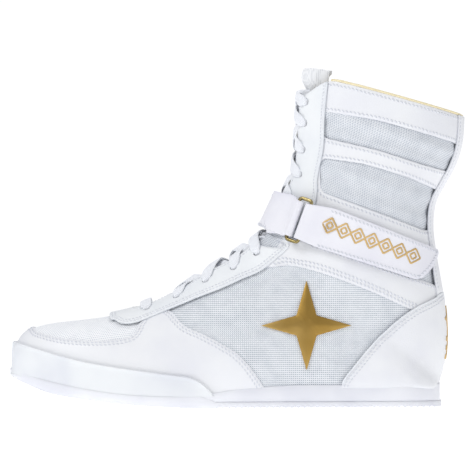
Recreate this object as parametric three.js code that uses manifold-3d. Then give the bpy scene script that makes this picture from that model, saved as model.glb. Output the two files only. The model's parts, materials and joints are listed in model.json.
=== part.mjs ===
// A lace-up boxing boot for the left foot, with a hook-and-loop ankle strap through a metal ring.
// Millimetres. The toe points to -X, the outer (lateral) side of the foot is -Y, and +Z is up.
// The upper is built on a last: a row of sections that fan out from the instep, each one running
// from the sole or the back of the heel to the top line of the foot or the shin. Every layer of the
// upper is the same last grown or shrunk by a distance, and every panel is a piece of one layer,
// cut out by a side-view outline.
import * as THREE from 'three';
import { mergeVertices } from 'three/addons/utils/BufferGeometryUtils.js';
import Module from 'manifold-3d';

const wasm = await Module();
wasm.setup();

// ---- Driving dimensions ----
const soleLength = 291.8; // outsole, heel to toe
const bootHeight = 228; // floor to the tongue's top edge
const ballWidth = 96.8; // outsole across the ball of the foot
const clearance = 0.3; // between pieces that touch
const leather = 1.0; // overlays and strap leather
const cloth = 1.0; // open mesh of the vamp, quarter and shaft
const filler = 0.8; // toe puff, heel counter and shaft padding
const liningThickness = 0.8;
const randThickness = 1.8; // rubber bumper round the toe
const treadThickness = 4.1; // rubber outsole under the midsole
const toothPitch = 4.2; // serrated tread
const toothDepth = 2.2;
const boardThickness = 1.8; // insole board
const sockThickness = 3.2; // removable sock liner
const laceWidth = 5.0;
const laceThickness = 1.1;
const laceRoom = 1.0; // the lace bends over facets, so it keeps further off than flat pieces do
const eyeletRadius = 3.0;
const throatHalfWidth = 11; // half of the gap between the lace stays
const tongueThickness = 3.6;
const ringWire = 2.4; // diameter of the ring's bars
const ringReach = 9.4; // between the ring's two long bars, centre to centre
const strapLeather = 1.2;
const fastener = 0.5; // hook tape and loop tape
const emblemThickness = 0.8;

// The drawing sizes that the outlines and stations below were drawn at.
const drawnLength = 291.8;
const drawnHeight = 228;
const drawnWidth = 96.8;
const lengthGrade = soleLength / drawnLength;
const heightGrade = bootHeight / drawnHeight;
const widthGrade = ballWidth / drawnWidth;

// ---- The sole's plan and profile: x, half width, centre y, tread z, seat z ----
const soleRows = [
  [-154, 0, 6, 20.5, 25.5],
  [-152.4, 10, 6, 19.8, 25.1],
  [-148, 20.5, 5.8, 18, 24.2],
  [-140, 30, 5.2, 14.9, 21.8],
  [-126, 38, 3.8, 9.8, 18],
  [-105, 44, 1.8, 6.2, 13.6],
  [-82, 47.3, 0.6, 3.4, 10.2],
  [-55, 48.4, -1, 1.4, 8.3],
  [-25, 45, -3.6, 0, 8.6],
  [-14, 43, -4.2, 0, 10.2],
  [0, 40.5, -4.8, 0, 12.7],
  [35, 36, -4.6, 0, 15.2],
  [70, 34.2, -2.8, 0, 15.4],
  [100, 34, -1, 0, 15.4],
  [118, 30.5, -0.3, 0, 15.5],
  [130, 21.5, 0, 0, 15.7],
  [136, 10, 0, 0, 15.9],
  [137.8, 0, 0, 0, 16],
].map(([x, half, centre, tread, seat]) => ({
  x: x * lengthGrade,
  half: half * widthGrade,
  centre: centre * widthGrade,
  tread: tread * heightGrade,
  seat: seat * heightGrade,
}));

// The sole's numbers at any x, on the straight line between two rows.
function soleAt(x) {
  const last = soleRows.length - 2;
  const found = soleRows.findIndex((row, k) => k < last && x < soleRows[k + 1].x);
  const i = found < 0 ? last : found;
  const [a, b] = [soleRows[i], soleRows[i + 1]];
  const t = THREE.MathUtils.clamp((x - a.x) / (b.x - a.x), 0, 1);
  const mix = (key) => a[key] + t * (b[key] - a[key]);
  return { x, half: mix('half'), centre: mix('centre'), tread: mix('tread'), seat: mix('seat') };
}

// ---- The last's stations, drawn on the outer face of the leather overlays ----
// foot stations: bottom x | top x, top z | half width | widest at | squareness | top centre y
const footStations = [
  [-151, -151, 36, 0, 0.3, 2.5, 6],
  [-149.6, -149.6, 42, 14, 0.3, 2.5, 6],
  [-145, -145, 49, 21.5, 0.32, 2.5, 5.8],
  [-137, -137, 54, 29.3, 0.34, 2.5, 5.4],
  [-124, -124, 57, 36, 0.35, 2.4, 5],
  [-105, -105, 59.2, 41.5, 0.34, 2.3, 4.6],
  [-84, -84, 62.3, 44.8, 0.32, 2.1, 4.2],
  [-60, -62, 68.3, 46, 0.28, 1.9, 3.8],
  [-32, -40, 80, 44.5, 0.26, 1.75, 3.2],
  [0, -22, 92.3, 42, 0.28, 1.7, 2.6],
  [35, -8, 100.7, 39.5, 0.32, 1.7, 2],
  [70, -1, 105.3, 38, 0.38, 1.75, 1.6],
  [100, 4, 108.8, 37.5, 0.45, 1.8, 1.3],
  [122, 7, 111, 37.2, 0.5, 1.85, 1.1],
  [134, 9.5, 112.9, 37, 0.5, 1.9, 1],
];
// back stations: back x, z | front x, z | half width | widest at | squareness | front centre y
const backStations = [
  [138.2, 27, 11.7, 114.5, 37, 0.5, 1.9, 0.9],
  [140.1, 42, 13.8, 116, 37, 0.5, 1.9, 0.8],
  [139.6, 62, 16, 117.8, 36.6, 0.5, 1.9, 0.7],
  [137.3, 79, 19, 120.6, 36, 0.5, 1.9, 0.6],
  [133, 104, 31, 146, 35.5, 0.48, 1.95, 0.4],
  [131.1, 122, 36.3, 158, 35.8, 0.47, 2, 0.2],
  [133.1, 138, 38.3, 171, 36.4, 0.46, 2, 0],
  [139.8, 151, 39, 183, 37, 0.46, 2, 0],
  [146.3, 163, 39.6, 194, 37.6, 0.46, 2, 0],
  [150.8, 178, 40.5, 207, 38.2, 0.46, 2, 0],
  [152.2, 197, 43, 226.5, 39, 0.46, 2, 0],
  [152.2, 212, 46, 240, 39.5, 0.46, 2, 0],
];
const featherInset = 3.2; // the upper's bottom edge lies this far inside the sole's edge

// Every station in one list, at the boot's real size.
const stations = [
  ...footStations.map(([bottomX, topX, topZ, half, widest, square, centre]) => {
    const sole = soleAt(bottomX * lengthGrade);
    return {
      back: [sole.x, sole.seat],
      front: [topX * lengthGrade, topZ * heightGrade],
      half: half * widthGrade,
      foot: Math.max(sole.half - featherInset, 0),
      widest,
      square,
      backCentre: sole.centre,
      frontCentre: centre * widthGrade,
    };
  }),
  ...backStations.map(([backX, backZ, frontX, frontZ, half, widest, square, centre]) => ({
    back: [backX * lengthGrade, backZ * heightGrade],
    front: [frontX * lengthGrade, frontZ * heightGrade],
    half: half * widthGrade,
    foot: 0,
    widest,
    square,
    backCentre: 0,
    frontCentre: centre * widthGrade,
  })),
];

// The outward normal of the back or front line at station i, in the side view.
function lineNormal(key, i, turn) {
  if (i === 0) return [-1, 0];
  const a = stations[i - 1][key];
  const b = stations[Math.min(i + 1, stations.length - 1)][key];
  const length = Math.hypot(b[0] - a[0], b[1] - a[1]);
  return [(-turn * (b[1] - a[1])) / length, (turn * (b[0] - a[0])) / length];
}

// The outward normal of the foot's plan outline at foot station i: along x, then sideways.
function planNormal(i) {
  if (i === 0) return [-1, 0];
  const [a, b] = [stations[i - 1], stations[i + 1]];
  const [run, rise] = [b.back[0] - a.back[0], b.half - a.half];
  const length = Math.hypot(run, rise);
  return [-rise / length, run / length];
}

// Under the foot the last runs a little below the seat, so that each layer is cut off square there.
const seatDrop = 3;
const seatDropPerGrowth = 0.05;
stations.forEach((station, i) => {
  station.frontNormal = lineNormal('front', i, 1);
  station.onSole = i < footStations.length;
  station.backNormal = station.onSole ? [planNormal(i)[0], seatDropPerGrowth] : lineNormal('back', i, -1);
  station.spread = station.onSole ? planNormal(i)[1] : 1;
});
stations.filter((station) => station.onSole).forEach((station) => (station.back[1] -= seatDrop));

// Half of the width of station i grown by d, at a share of the way up its section.
function halfWidth(i, share, d) {
  const s = stations[i];
  const half = Math.max(s.half + d * s.spread, 0);
  const foot = s.foot > 0 ? Math.max(s.foot + d * s.spread, 0) : 0;
  if (share < s.widest) {
    const r = 1 - share / s.widest;
    return foot + (half - foot) * Math.sqrt(Math.max(1 - r * r, 0));
  }
  const r = (share - s.widest) / (1 - s.widest);
  return half * Math.max(1 - r ** s.square, 0) ** (1 / s.square);
}

// A point of station i grown by d. round runs from 0 at the lateral bottom, over 1 at the front or
// top line, to 2 at the medial bottom.
function stationPoint(i, round, d) {
  const s = stations[i];
  const side = round <= 1 ? -1 : 1;
  const share = (1 - Math.cos(Math.PI * (round <= 1 ? round : 2 - round))) / 2;
  const back = s.back.map((value, k) => value + d * s.backNormal[k]);
  const front = s.front.map((value, k) => value + d * s.frontNormal[k]);
  const centre = s.backCentre + share * (s.frontCentre - s.backCentre);
  return new THREE.Vector3(
    back[0] + share * (front[0] - back[0]),
    centre + side * halfWidth(i, share, d),
    back[1] + share * (front[1] - back[1]),
  );
}

const roundSteps = 7; // facets on each side of a section

// A point on the faceted last at any place between stations and facets.
function lastPoint(along, round, d) {
  const i = Math.min(Math.floor(along), stations.length - 2);
  const j = Math.min(Math.floor(round * roundSteps), 2 * roundSteps - 1);
  const share = round * roundSteps - j;
  const [low, high] = [i, i + 1].map((k) =>
    stationPoint(k, j / roundSteps, d).lerp(stationPoint(k, (j + 1) / roundSteps, d), share),
  );
  return low.lerp(high, along - i);
}

// The last's outward direction at a place.
function lastNormal(along, round) {
  const step = 0.02;
  const ahead = lastPoint(Math.min(along + step, stations.length - 1), round, 0);
  const before = lastPoint(Math.max(along - step, 0), round, 0);
  const right = lastPoint(along, Math.min(round + step, 2), 0);
  const left = lastPoint(along, Math.max(round - step, 0), 0);
  return ahead.sub(before).cross(right.sub(left)).normalize();
}

// ---- Solids ----
// A manifold-3d solid from a list of points and a list of triangles.
function solidFrom(points, triangles) {
  const geometry = new THREE.BufferGeometry();
  const numbers = points.flatMap((point) => point.toArray());
  geometry.setAttribute('position', new THREE.Float32BufferAttribute(numbers, 3));
  geometry.setIndex(triangles.flat());
  return solidOf(geometry);
}

// A manifold-3d solid from a closed three.js geometry.
function solidOf(source) {
  const geometry = source.clone();
  geometry.deleteAttribute('normal');
  geometry.deleteAttribute('uv');
  const merged = mergeVertices(geometry, 1e-4);
  const index = [];
  for (let i = 0; i < merged.index.count; i += 3) {
    const [a, b, c] = [0, 1, 2].map((k) => merged.index.getX(i + k));
    if (a !== b && b !== c && a !== c) index.push(a, b, c);
  }
  return new wasm.Manifold(
    new wasm.Mesh({
      numProp: 3,
      vertProperties: merged.attributes.position.array,
      triVerts: new Uint32Array(index),
    }),
  );
}

// The triangles of a grid of points, rows by columns, closed round in the column direction.
function ringTriangles(rows, columns) {
  const triangles = [];
  for (let i = 0; i < rows - 1; i++) {
    for (let j = 0; j < columns; j++) {
      const next = (j + 1) % columns;
      const [a, b] = [i * columns + j, i * columns + next];
      const [c, d] = [a + columns, b + columns];
      triangles.push([a, c, b], [b, c, d]);
    }
  }
  return triangles;
}

// The flat cap across one ring of points, whose first and last half face each other.
function capTriangles(start, columns, turned) {
  const triangles = [];
  for (let j = 0; j < Math.floor(columns / 2); j++) {
    const [a, b] = [start + j, start + j + 1];
    const [c, d] = [start + columns - 1 - j, start + columns - 2 - j];
    if (b < d) triangles.push([a, b, c], [b, d, c]);
    else if (b === d) triangles.push([a, b, c]);
  }
  return turned ? triangles.map(([a, b, c]) => [a, c, b]) : triangles;
}

// The whole last grown by d, as one closed body.
function lastBody(d) {
  const columns = 2 * roundSteps + 1;
  const points = stations.flatMap((_, i) =>
    Array.from({ length: columns }, (__, j) => stationPoint(i, j / roundSteps, d)),
  );
  const rows = stations.length;
  return solidFrom(points, [
    ...ringTriangles(rows, columns),
    ...capTriangles(0, columns, false),
    ...capTriangles((rows - 1) * columns, columns, true),
  ]);
}

// A layer of the upper, from one growth of the last to another.
function shell(outer, inner) {
  return lastBody(outer).subtract(lastBody(inner));
}

const farOut = 120; // past the boot on either side
const curveSegments = 4; // straight pieces for each rounded corner
const sides = {
  lateral: [-farOut, -clearance / 2],
  medial: [clearance / 2, farOut],
  both: [-farOut, farOut],
};

// A side-view outline (drawn x, z points, or a Shape of them) swept across the boot.
function prism(outline, side = 'both') {
  const drawn = Array.isArray(outline);
  const shape = drawn ? new THREE.Shape(outline.map(([x, z]) => new THREE.Vector2(x, z))) : outline;
  const [from, to] = sides[side];
  const geometry = new THREE.ExtrudeGeometry(shape, { depth: to - from, bevelEnabled: false, curveSegments });
  geometry.rotateX(Math.PI / 2).translate(0, to, 0);
  geometry.scale(lengthGrade, 1, heightGrade);
  return solidOf(geometry);
}

// A sole layer: a slab over the sole's rows between two x, with its own inset, low and high faces.
function slab(from, to, inset, low, high) {
  const rows = soleRows.filter((row) => row.x > from + 1 && row.x < to - 1).map((row) => row.x);
  const points = [from, ...rows, to].flatMap((x) => {
    const sole = soleAt(x);
    const half = Math.max(sole.half - inset, 0.5);
    return [
      [-half, low(sole)],
      [-half, high(sole)],
      [half, high(sole)],
      [half, low(sole)],
    ].map(([y, z]) => new THREE.Vector3(x, sole.centre + y, z));
  });
  const count = rows.length + 2;
  const end = (count - 1) * 4;
  return solidFrom(points, [
    ...ringTriangles(count, 4),
    [0, 1, 2],
    [0, 2, 3],
    [end, end + 2, end + 1],
    [end, end + 3, end + 2],
  ]);
}

// ---- The boot as a scene graph ----
const boot = new THREE.Group();
const colours = {
  leather: [0xf4f5f7, 0.42, 0],
  mesh: [0xe6e9ee, 0.8, 0],
  rubber: [0xeceef1, 0.6, 0],
  foam: [0xf0f0ec, 0.9, 0],
  board: [0xd8d2c4, 0.9, 0],
  gold_cloth: [0xd9bd72, 0.7, 0],
  lace: [0xf6f6f7, 0.85, 0],
  gold: [0xc2952f, 0.32, 0.6],
  metal: [0xc9a648, 0.25, 1],
};
const finishes = Object.fromEntries(
  Object.entries(colours).map(([name, [color, roughness, metalness]]) => [
    name,
    new THREE.MeshStandardMaterial({ name, color, roughness, metalness }),
  ]),
);

// Adds a solid to the boot as a named mesh.
function addPiece(name, finish, solid) {
  const { vertProperties, triVerts, numProp, numVert } = solid.getMesh();
  const position = new Float32Array(numVert * 3);
  for (let i = 0; i < numVert; i++) {
    position.set(vertProperties.subarray(i * numProp, i * numProp + 3), i * 3);
  }
  const geometry = new THREE.BufferGeometry();
  geometry.setAttribute('position', new THREE.BufferAttribute(position, 3));
  geometry.setIndex(new THREE.BufferAttribute(new Uint32Array(triVerts), 1));
  geometry.computeVertexNormals();
  const mesh = new THREE.Mesh(geometry, finishes[finish]);
  mesh.name = name;
  boot.add(mesh);
}

// ---- The layers of the upper: how far the last is grown to their outer and inner faces ----
function layerUnder(outer, thickness) {
  return { outer, inner: outer - thickness };
}
function layerOver(inner, thickness) {
  return { outer: inner + thickness, inner };
}
const overlay = layerUnder(0, leather);
const clothLayer = layerUnder(overlay.inner - clearance, cloth);
const fillerLayer = layerUnder(clothLayer.inner - clearance, filler);
const liningLayer = layerUnder(fillerLayer.inner - clearance, liningThickness);
const topOverlay = layerOver(overlay.outer + clearance, leather);
const randLayer = layerOver(overlay.outer + clearance, randThickness);
const laceOver = topOverlay.outer + laceRoom + laceThickness / 2; // middle of the lace over the stays
const laceUnder = liningLayer.inner - laceRoom - laceThickness / 2; // and under them
const tongueLayer = layerUnder(laceUnder - laceThickness / 2 - 2.5 * laceRoom, tongueThickness);
const loopLayer = layerOver(topOverlay.outer + clearance, fastener);
const hookLayer = layerOver(loopLayer.outer + clearance, fastener);
const tailLayer = layerOver(hookLayer.outer + clearance, strapLeather);
const anchorLayer = layerOver(laceOver + laceThickness / 2 + 0.7 * laceRoom, strapLeather);
const padThickness = anchorLayer.inner - overlay.outer - 2 * clearance;
const padLayer = layerOver(overlay.outer + clearance, padThickness);
const strapEmblemLayer = layerOver(tailLayer.outer + clearance, emblemThickness);

// ---- Side-view outlines: x and z at drawing size, as polylines that rounded corners may soften ----
const collarLine = [
  [0, 199], [39, 205.8], [46.9, 211], [60.7, 219], [73.4, 217.2], [103.6, 209.2], [153, 195.8], [180, 188],
];
const linerSeam = [[-20, 131], [28, 102], [60, 96], [100, 80], [180, 52]]; // foot and shaft meet here
const vampSeam = [[-58, 110], [-44, 0]]; // toe and quarters meet here

// An outline that runs along a line and closes far above or far below it, moved up by a distance.
function above(line, move = 0) {
  const raised = line.map(([x, z]) => [x, z + move]);
  return [...raised, [line[line.length - 1][0], 320], [line[0][0], 320]];
}
function below(line, move = 0) {
  const raised = line.map(([x, z]) => [x, z + move]);
  return [...raised, [line[line.length - 1][0], -60], [line[0][0], -60]];
}

// An outline with each corner rounded.
function rounded(points, radius) {
  const shape = new THREE.Shape();
  points.forEach((corner, i) => {
    const before = points[(i + points.length - 1) % points.length];
    const after = points[(i + 1) % points.length];
    const toward = (other) => {
      const [dx, dz] = [other[0] - corner[0], other[1] - corner[1]];
      const share = Math.min(radius / Math.hypot(dx, dz), 0.45);
      return [corner[0] + dx * share, corner[1] + dz * share];
    };
    const [start, end] = [toward(before), toward(after)];
    if (i === 0) shape.moveTo(...start);
    else shape.lineTo(...start);
    shape.quadraticCurveTo(...corner, ...end);
  });
  shape.closePath();
  return shape;
}

const seatOutline = soleRows.map(({ x, seat }) => [x / lengthGrade, seat / heightGrade]);
const seatLine = [[-175, 27], ...seatOutline, [175, 16]];
const upperSpace = prism(above(seatLine, clearance));
const collarGap = 1.2; // leather and linings stop this far under the collar line, for the binding
const underCollar = prism(below(collarLine, -collarGap));

// The throat: the open slot between the lace stays, from the toe end up the front of the shaft.
const throatFront = -60; // the slot's round end is centred here
const throatBack = 62; // well inside the shaft's hollow
const throatCentres = [[throatFront, 3.8], [-22, 2.6], [7, 1.1], [30, 0.4], [throatBack, 0]];
function throatShape(half, front) {
  const shape = new THREE.Shape();
  const centres = throatCentres.map(([x, y]) => [x * lengthGrade, y * widthGrade]);
  const frontX = front * lengthGrade;
  shape.absarc(frontX, centres[0][1], half, Math.PI / 2, (3 * Math.PI) / 2, false);
  centres.slice(1).forEach(([x, y]) => shape.lineTo(x, y - half));
  centres.slice(1).reverse().forEach(([x, y]) => shape.lineTo(x, y + half));
  shape.closePath();
  return shape;
}
function planPrism(shape, low, high) {
  const depth = (high - low) * heightGrade;
  const geometry = new THREE.ExtrudeGeometry(shape, { depth, bevelEnabled: false, curveSegments });
  return solidOf(geometry.translate(0, 0, low * heightGrade));
}
const slotBottom = 45; // the throat's cutters start under the instep
const slotTop = 300; // and end over the boot
const throat = planPrism(throatShape(throatHalfWidth, throatFront), slotBottom, slotTop);

// ---- Eyelets: ten on each side, in a lower row on the foot and an upper row on the shaft ----
const eyeletSpots = [
  [-61, 66.6], [-41, 73.7], [-20.6, 84], [-1.9, 92.5], [14.7, 102],
  [41, 137], [44.9, 154.8], [46.2, 172.2], [48.2, 190], [49.6, 204.5],
];
const eyeletFromEdge = 6.5; // eyelet's middle to the stay's edge
const eyeletReach = throatHalfWidth + eyeletFromEdge; // eyelet to the middle of the throat

// The round value at which the last at a place is a distance to the side of its middle line.
function roundAt(along, sideways) {
  const middle = lastPoint(along, 1, 0).y;
  let [low, high] = [0.45, 1];
  for (let k = 0; k < 30; k++) {
    const round = (low + high) / 2;
    if (middle - lastPoint(along, round, 0).y > Math.abs(sideways)) low = round;
    else high = round;
  }
  return sideways < 0 ? low : 2 - low;
}

// How far along the last an eyelet at a side-view spot lies.
function alongAt(x, z) {
  const miss = (along) => {
    const p = lastPoint(along, roundAt(along, -eyeletReach), 0);
    return Math.hypot(p.x / lengthGrade - x, p.z / heightGrade - z);
  };
  const tries = Array.from({ length: 400 }, (_, k) => 6 + k * 0.048);
  return tries.reduce((best, along) => (miss(along) < miss(best) ? along : best));
}

// An eyelet's middle, with the boot's up-the-slot, outward-from-the-slot and normal directions there.
function eyelet(along, sign) {
  const round = roundAt(along, sign * eyeletReach);
  const point = lastPoint(along, round, 0);
  const normal = lastNormal(along, round);
  const outward = lastPoint(along, round - sign * -0.02, 0).sub(point);
  outward.addScaledVector(normal, -outward.dot(normal)).normalize();
  const up = lastPoint(along + 0.05, round, 0).sub(lastPoint(along - 0.05, round, 0)).normalize();
  return { along, round, point, normal, outward, up };
}
const eyeletAlongs = eyeletSpots.map(([x, z]) => alongAt(x, z));
const eyelets = [-1, 1].map((sign) => eyeletAlongs.map((along) => eyelet(along, sign)));

const eyeletSides = 6;
const eyeletDepth = 20;
function drill({ point, normal }) {
  const geometry = new THREE.CylinderGeometry(eyeletRadius, eyeletRadius, eyeletDepth, eyeletSides);
  const turn = new THREE.Quaternion().setFromUnitVectors(new THREE.Vector3(0, 1, 0), normal);
  return solidOf(geometry.applyQuaternion(turn).translate(...point));
}
const eyeletHoles = eyelets.flat().map(drill).reduce((all, hole) => all.add(hole));

// ---- Panels ----
// A panel of one layer: the part of the layer behind a side-view outline, on one side or both.
function panel(layer, outline, side = 'both') {
  return shell(layer.outer, layer.inner).intersect(prism(outline, side)).intersect(upperSpace);
}
function openFront(solid) {
  return solid.subtract(throat).subtract(eyeletHoles);
}
// Cloth and bands end under the stays, behind the eyelets.
const behindEyelets = eyeletReach + eyeletRadius + 1;
const wideThroat = planPrism(throatShape(behindEyelets, throatFront), slotBottom, slotTop);
function endUnderStay(solid) {
  return solid.subtract(wideThroat);
}

// Soles
function outsoleTop(sole) {
  const [stepFront, stepBack] = [-25 * lengthGrade, -14 * lengthGrade];
  const share = THREE.MathUtils.clamp((stepBack - sole.x) / (stepBack - stepFront), 0, 1);
  return THREE.MathUtils.lerp(sole.tread + treadThickness, sole.seat, share);
}
const heelEnd = soleRows[soleRows.length - 1].x;
const toeEnd = soleRows[0].x;
const treadStart = -14 * lengthGrade;
const treadEnd = heelEnd - 6;
const notchHalf = 0.4; // half of a notch's width, as a share of the pitch
function treadTeeth() {
  const count = Math.floor((treadEnd - treadStart) / toothPitch);
  const notches = Array.from({ length: count }, (_, k) => {
    const x = treadStart + (k + 0.5) * toothPitch;
    const notch = new THREE.Shape();
    notch.moveTo(x - toothPitch * notchHalf, -1);
    notch.lineTo(x + toothPitch * notchHalf, -1);
    notch.lineTo(x, toothDepth);
    const geometry = new THREE.ExtrudeGeometry(notch, { depth: 2 * farOut, bevelEnabled: false });
    return solidOf(geometry.rotateX(Math.PI / 2).translate(0, farOut, 0));
  });
  return notches.reduce((all, notch) => all.add(notch));
}
const outsoleBlock = slab(toeEnd, heelEnd, 0, (s) => s.tread, outsoleTop);
addPiece('outsole', 'rubber', outsoleBlock.subtract(treadTeeth()));
const midsoleStart = -20 * lengthGrade;
const midsoleEnd = heelEnd - 1.5;
const midsoleInset = 0.6;
const midsoleLow = (sole) => outsoleTop(sole) + clearance;
addPiece('midsole', 'rubber', slab(midsoleStart, midsoleEnd, midsoleInset, midsoleLow, (s) => s.seat));

// Inside the bottom of the upper: the board that the upper is lasted to, and the loose sock liner.
function footbed(growth, low, thickness) {
  const bed = prism(above(seatLine, low));
  const lid = prism(below(seatLine, low + thickness));
  return lastBody(growth).intersect(bed).intersect(lid);
}
const boardGrowth = liningLayer.inner - clearance;
addPiece('insole_board', 'board', footbed(boardGrowth, clearance, boardThickness));
const sockLow = clearance + boardThickness + clearance;
addPiece('sockliner', 'foam', footbed(boardGrowth - clearance, sockLow, sockThickness));

// Toe and forefoot
const randTop = [
  [-175, 43], [-150.2, 42.5], [-139, 39.5], [-118.5, 33.8], [-98, 29.2], [-70.4, 25.1],
  [-46.9, 22.1], [-31.3, 20.1], [-23, 15.9], [-16.4, 9.7],
];
addPiece('toe_rand', 'rubber', panel(randLayer, below(randTop)));
const mudguardEdge = [
  [-175, 55], [-141, 53.9], [-134, 50.3], [-118.6, 46.6], [-103.2, 45.2], [-87.8, 45.2], [-75.4, 46.7],
  [-69.2, 49.7], [-64, 59], [-56, 64], [-46, 65], [-35.5, 54.9], [-22.1, 48.9], [-10.7, 42.9], [0, 36.2],
  [9.4, 26.1], [18.8, 12],
];
addPiece('mudguard', 'leather', panel(overlay, below(mudguardEdge)));
const toeSide = [[-190, 0], ...vampSeam.toReversed(), [-190, 110]];
const puffEdge = [[-175, 60], [-112, 60], [-106, 10]];
addPiece('vamp', 'mesh', endUnderStay(panel(clothLayer, toeSide)));
addPiece('toe_puff', 'board', panel(fillerLayer, below(puffEdge)));
addPiece('vamp_lining', 'mesh', openFront(panel(liningLayer, toeSide)));

// Quarters, shaft and their linings, each made of a lateral and a medial half
const vampGap = vampSeam.map(([x, z]) => [x + clearance, z]);
const quarterOutline = [...vampGap, [200, 0], ...linerSeam.toReversed().map(([x, z]) => [x, z - clearance])];
const shaftOutline = above(linerSeam);
const paddingOutline = [[62, 132], [131, 106], [146, 170], [146, 188], [104, 200], [66, 208]];
const counterEdge = [[70, 14], [88, 40], [108, 62], [126, 68], [175, 68]];
const ankleBandOutline = [
  [12, 95], [22.8, 94], [34.8, 95.1], [53.2, 90.9], [73.4, 83.9], [93.7, 75.8], [115.9, 65.7], [150, 52],
  [190, 48], [190, 59], [135.3, 77.4], [42.9, 108.1], [24, 112],
];
const shaftFrameOutline = [[40, 131], [132, 98], [190, 80], ...collarLine.slice(1).toReversed()];
const windowCorner = 5;
const upperWindow = rounded([
  [61, 198.2], [94.2, 191.5], [150, 176], [144, 157], [122.5, 162.4], [94.2, 171.4], [61, 180.6],
], windowCorner);
const lowerWindow = rounded([
  [60, 167], [84.8, 162.5], [113.1, 154], [136.5, 144.5], [129, 117], [113.1, 123], [60, 144.4],
], windowCorner);
const paddingCorner = 6;
const paddingShape = rounded(paddingOutline, paddingCorner);
const stayTop = [
  [60.7, 218.6], [58.3, 194.8], [57.4, 174], [53.6, 154.2], [52.7, 141], [49, 129], [42, 124], [20, 122],
  [0, 150], [0, 199], [39, 205.8], [46.9, 211],
];
for (const side of ['lateral', 'medial']) {
  const shaftCloth = panel(clothLayer, shaftOutline, side).intersect(underCollar);
  const shaftLining = panel(liningLayer, shaftOutline, side).intersect(underCollar);
  addPiece(`quarter_mesh_${side}`, 'mesh', endUnderStay(panel(clothLayer, quarterOutline, side)));
  addPiece(`shaft_mesh_${side}`, 'mesh', endUnderStay(shaftCloth));
  addPiece(`quarter_lining_${side}`, 'mesh', openFront(panel(liningLayer, quarterOutline, side)));
  addPiece(`shaft_lining_${side}`, 'gold_cloth', openFront(shaftLining));
  addPiece(`collar_padding_${side}`, 'foam', panel(fillerLayer, paddingShape, side));
  addPiece(`ankle_band_${side}`, 'leather', endUnderStay(panel(overlay, ankleBandOutline, side)));
  const frame = panel(overlay, shaftFrameOutline, side).intersect(underCollar);
  const windows = prism(upperWindow, side).add(prism(lowerWindow, side));
  addPiece(`shaft_frame_${side}`, 'leather', endUnderStay(frame.subtract(windows)));
  const stay = openFront(panel(topOverlay, stayTop, side)).intersect(underCollar);
  addPiece(`eyestay_upper_${side}`, 'leather', stay);
}

// Heel
addPiece('heel_counter', 'board', panel(fillerLayer, below(counterEdge)));
const foxingEdge = [
  [69.4, 0], [69.4, 15], [79.5, 29.1], [91.7, 43.3], [103.9, 55.5], [117.9, 65.7], [132.2, 72.7],
  [138.3, 76.8], [190, 104],
];
addPiece('heel_foxing', 'leather', panel(topOverlay, [...foxingEdge, [190, 0]]));
const backstayEdge = [
  [133.4, 74.6], [129.4, 104], [127.4, 122], [129.2, 138], [135.8, 151], [142.3, 163], [146.8, 178],
  [148.4, 200],
];
const aboveFoxing = prism(above([[110, 62.4], [132.2, 73.4], [138.3, 77.5], [190, 104.7]]));
const backstay = panel(topOverlay, [...backstayEdge, [190, 200], [190, 74]]).intersect(underCollar);
addPiece('backstay', 'leather', backstay.intersect(aboveFoxing));

// Lower lace stay, a U round the front of the throat
const stayOuter = [
  [-86.3, 63.5], [-82.2, 58], [-76.7, 55.6], [-67.9, 56.3], [-59.6, 59.4], [-48.7, 63.9], [-37.8, 68.3],
  [-26.8, 73], [-10.5, 79.2], [3.3, 85.4], [14.7, 90.2], [22.8, 96], [33, 105.1], [34.5, 109.5], [31, 113],
  [16, 119], [0, 160], [-86.3, 160],
];
addPiece('lace_stay_lower', 'leather', openFront(panel(topOverlay, stayOuter)));

// Collar binding: a strip on top of the collar's edge, over all the layers below it
const bindingRise = 0.9; // over the collar line
const bindingSpan = shell(overlay.outer, liningLayer.inner);
const bindingLow = prism(above(collarLine, clearance - collarGap));
const bindingBand = bindingLow.intersect(prism(below(collarLine, bindingRise)));
const frontSlot = planPrism(throatShape(throatHalfWidth + 6, throatFront), slotBottom, slotTop);
const binding = bindingSpan.intersect(bindingBand).subtract(frontSlot);
const behindStay = prism([[61.5, 190], [190, 190], [190, 240], [61.5, 240]]);
addPiece('collar_binding', 'gold_cloth', binding.intersect(behindStay));

// Tongue
const tongueHalfWidth = throatHalfWidth + 12;
const tongueSpace = planPrism(throatShape(tongueHalfWidth, throatFront), 20, slotTop);
const tongueLow = 42; // over the last's bottom edge, which also passes under the slot
const tongueOutline = [
  [-84, tongueLow], [20, tongueLow], [66, 120], [71, 219], [60, 226.5], [48, 228], [30, 227], [-84, 160],
];
addPiece('tongue', 'mesh', panel(tongueLayer, tongueOutline).intersect(tongueSpace));

// ---- Flat bands swept along a path: the lace, and the strap where it folds round the ring ----
// Each stop has a place and the direction of the band's width there.
function flatBand(stops, width, thickness) {
  const corners = [[-0.5, -0.5], [-0.5, 0.5], [0.5, 0.5], [0.5, -0.5]];
  const points = stops.flatMap(({ at, wide }, i) => {
    const before = stops[Math.max(i - 1, 0)].at;
    const after = stops[Math.min(i + 1, stops.length - 1)].at;
    const ahead = after.clone().sub(before).normalize();
    const up = ahead.clone().cross(wide).normalize();
    return corners.map(([a, b]) =>
      at.clone().addScaledVector(wide, a * width).addScaledVector(up, b * thickness),
    );
  });
  const end = (stops.length - 1) * 4;
  return solidFrom(points, [
    ...ringTriangles(stops.length, 4),
    [0, 1, 2], [0, 2, 3],
    [end, end + 2, end + 1], [end, end + 3, end + 2],
  ]);
}

// ---- The lace: a bar over the first pair of eyelets, then crossings, ends tucked in the throat ----
const bend = 1.2; // radius of the lace's turn through an eyelet
const reach = eyeletReach;
const low = laceUnder;
const edge = throatHalfWidth - 0.4;
const dive = edge - 2.2; // the lace is down at its lower level from here
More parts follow.
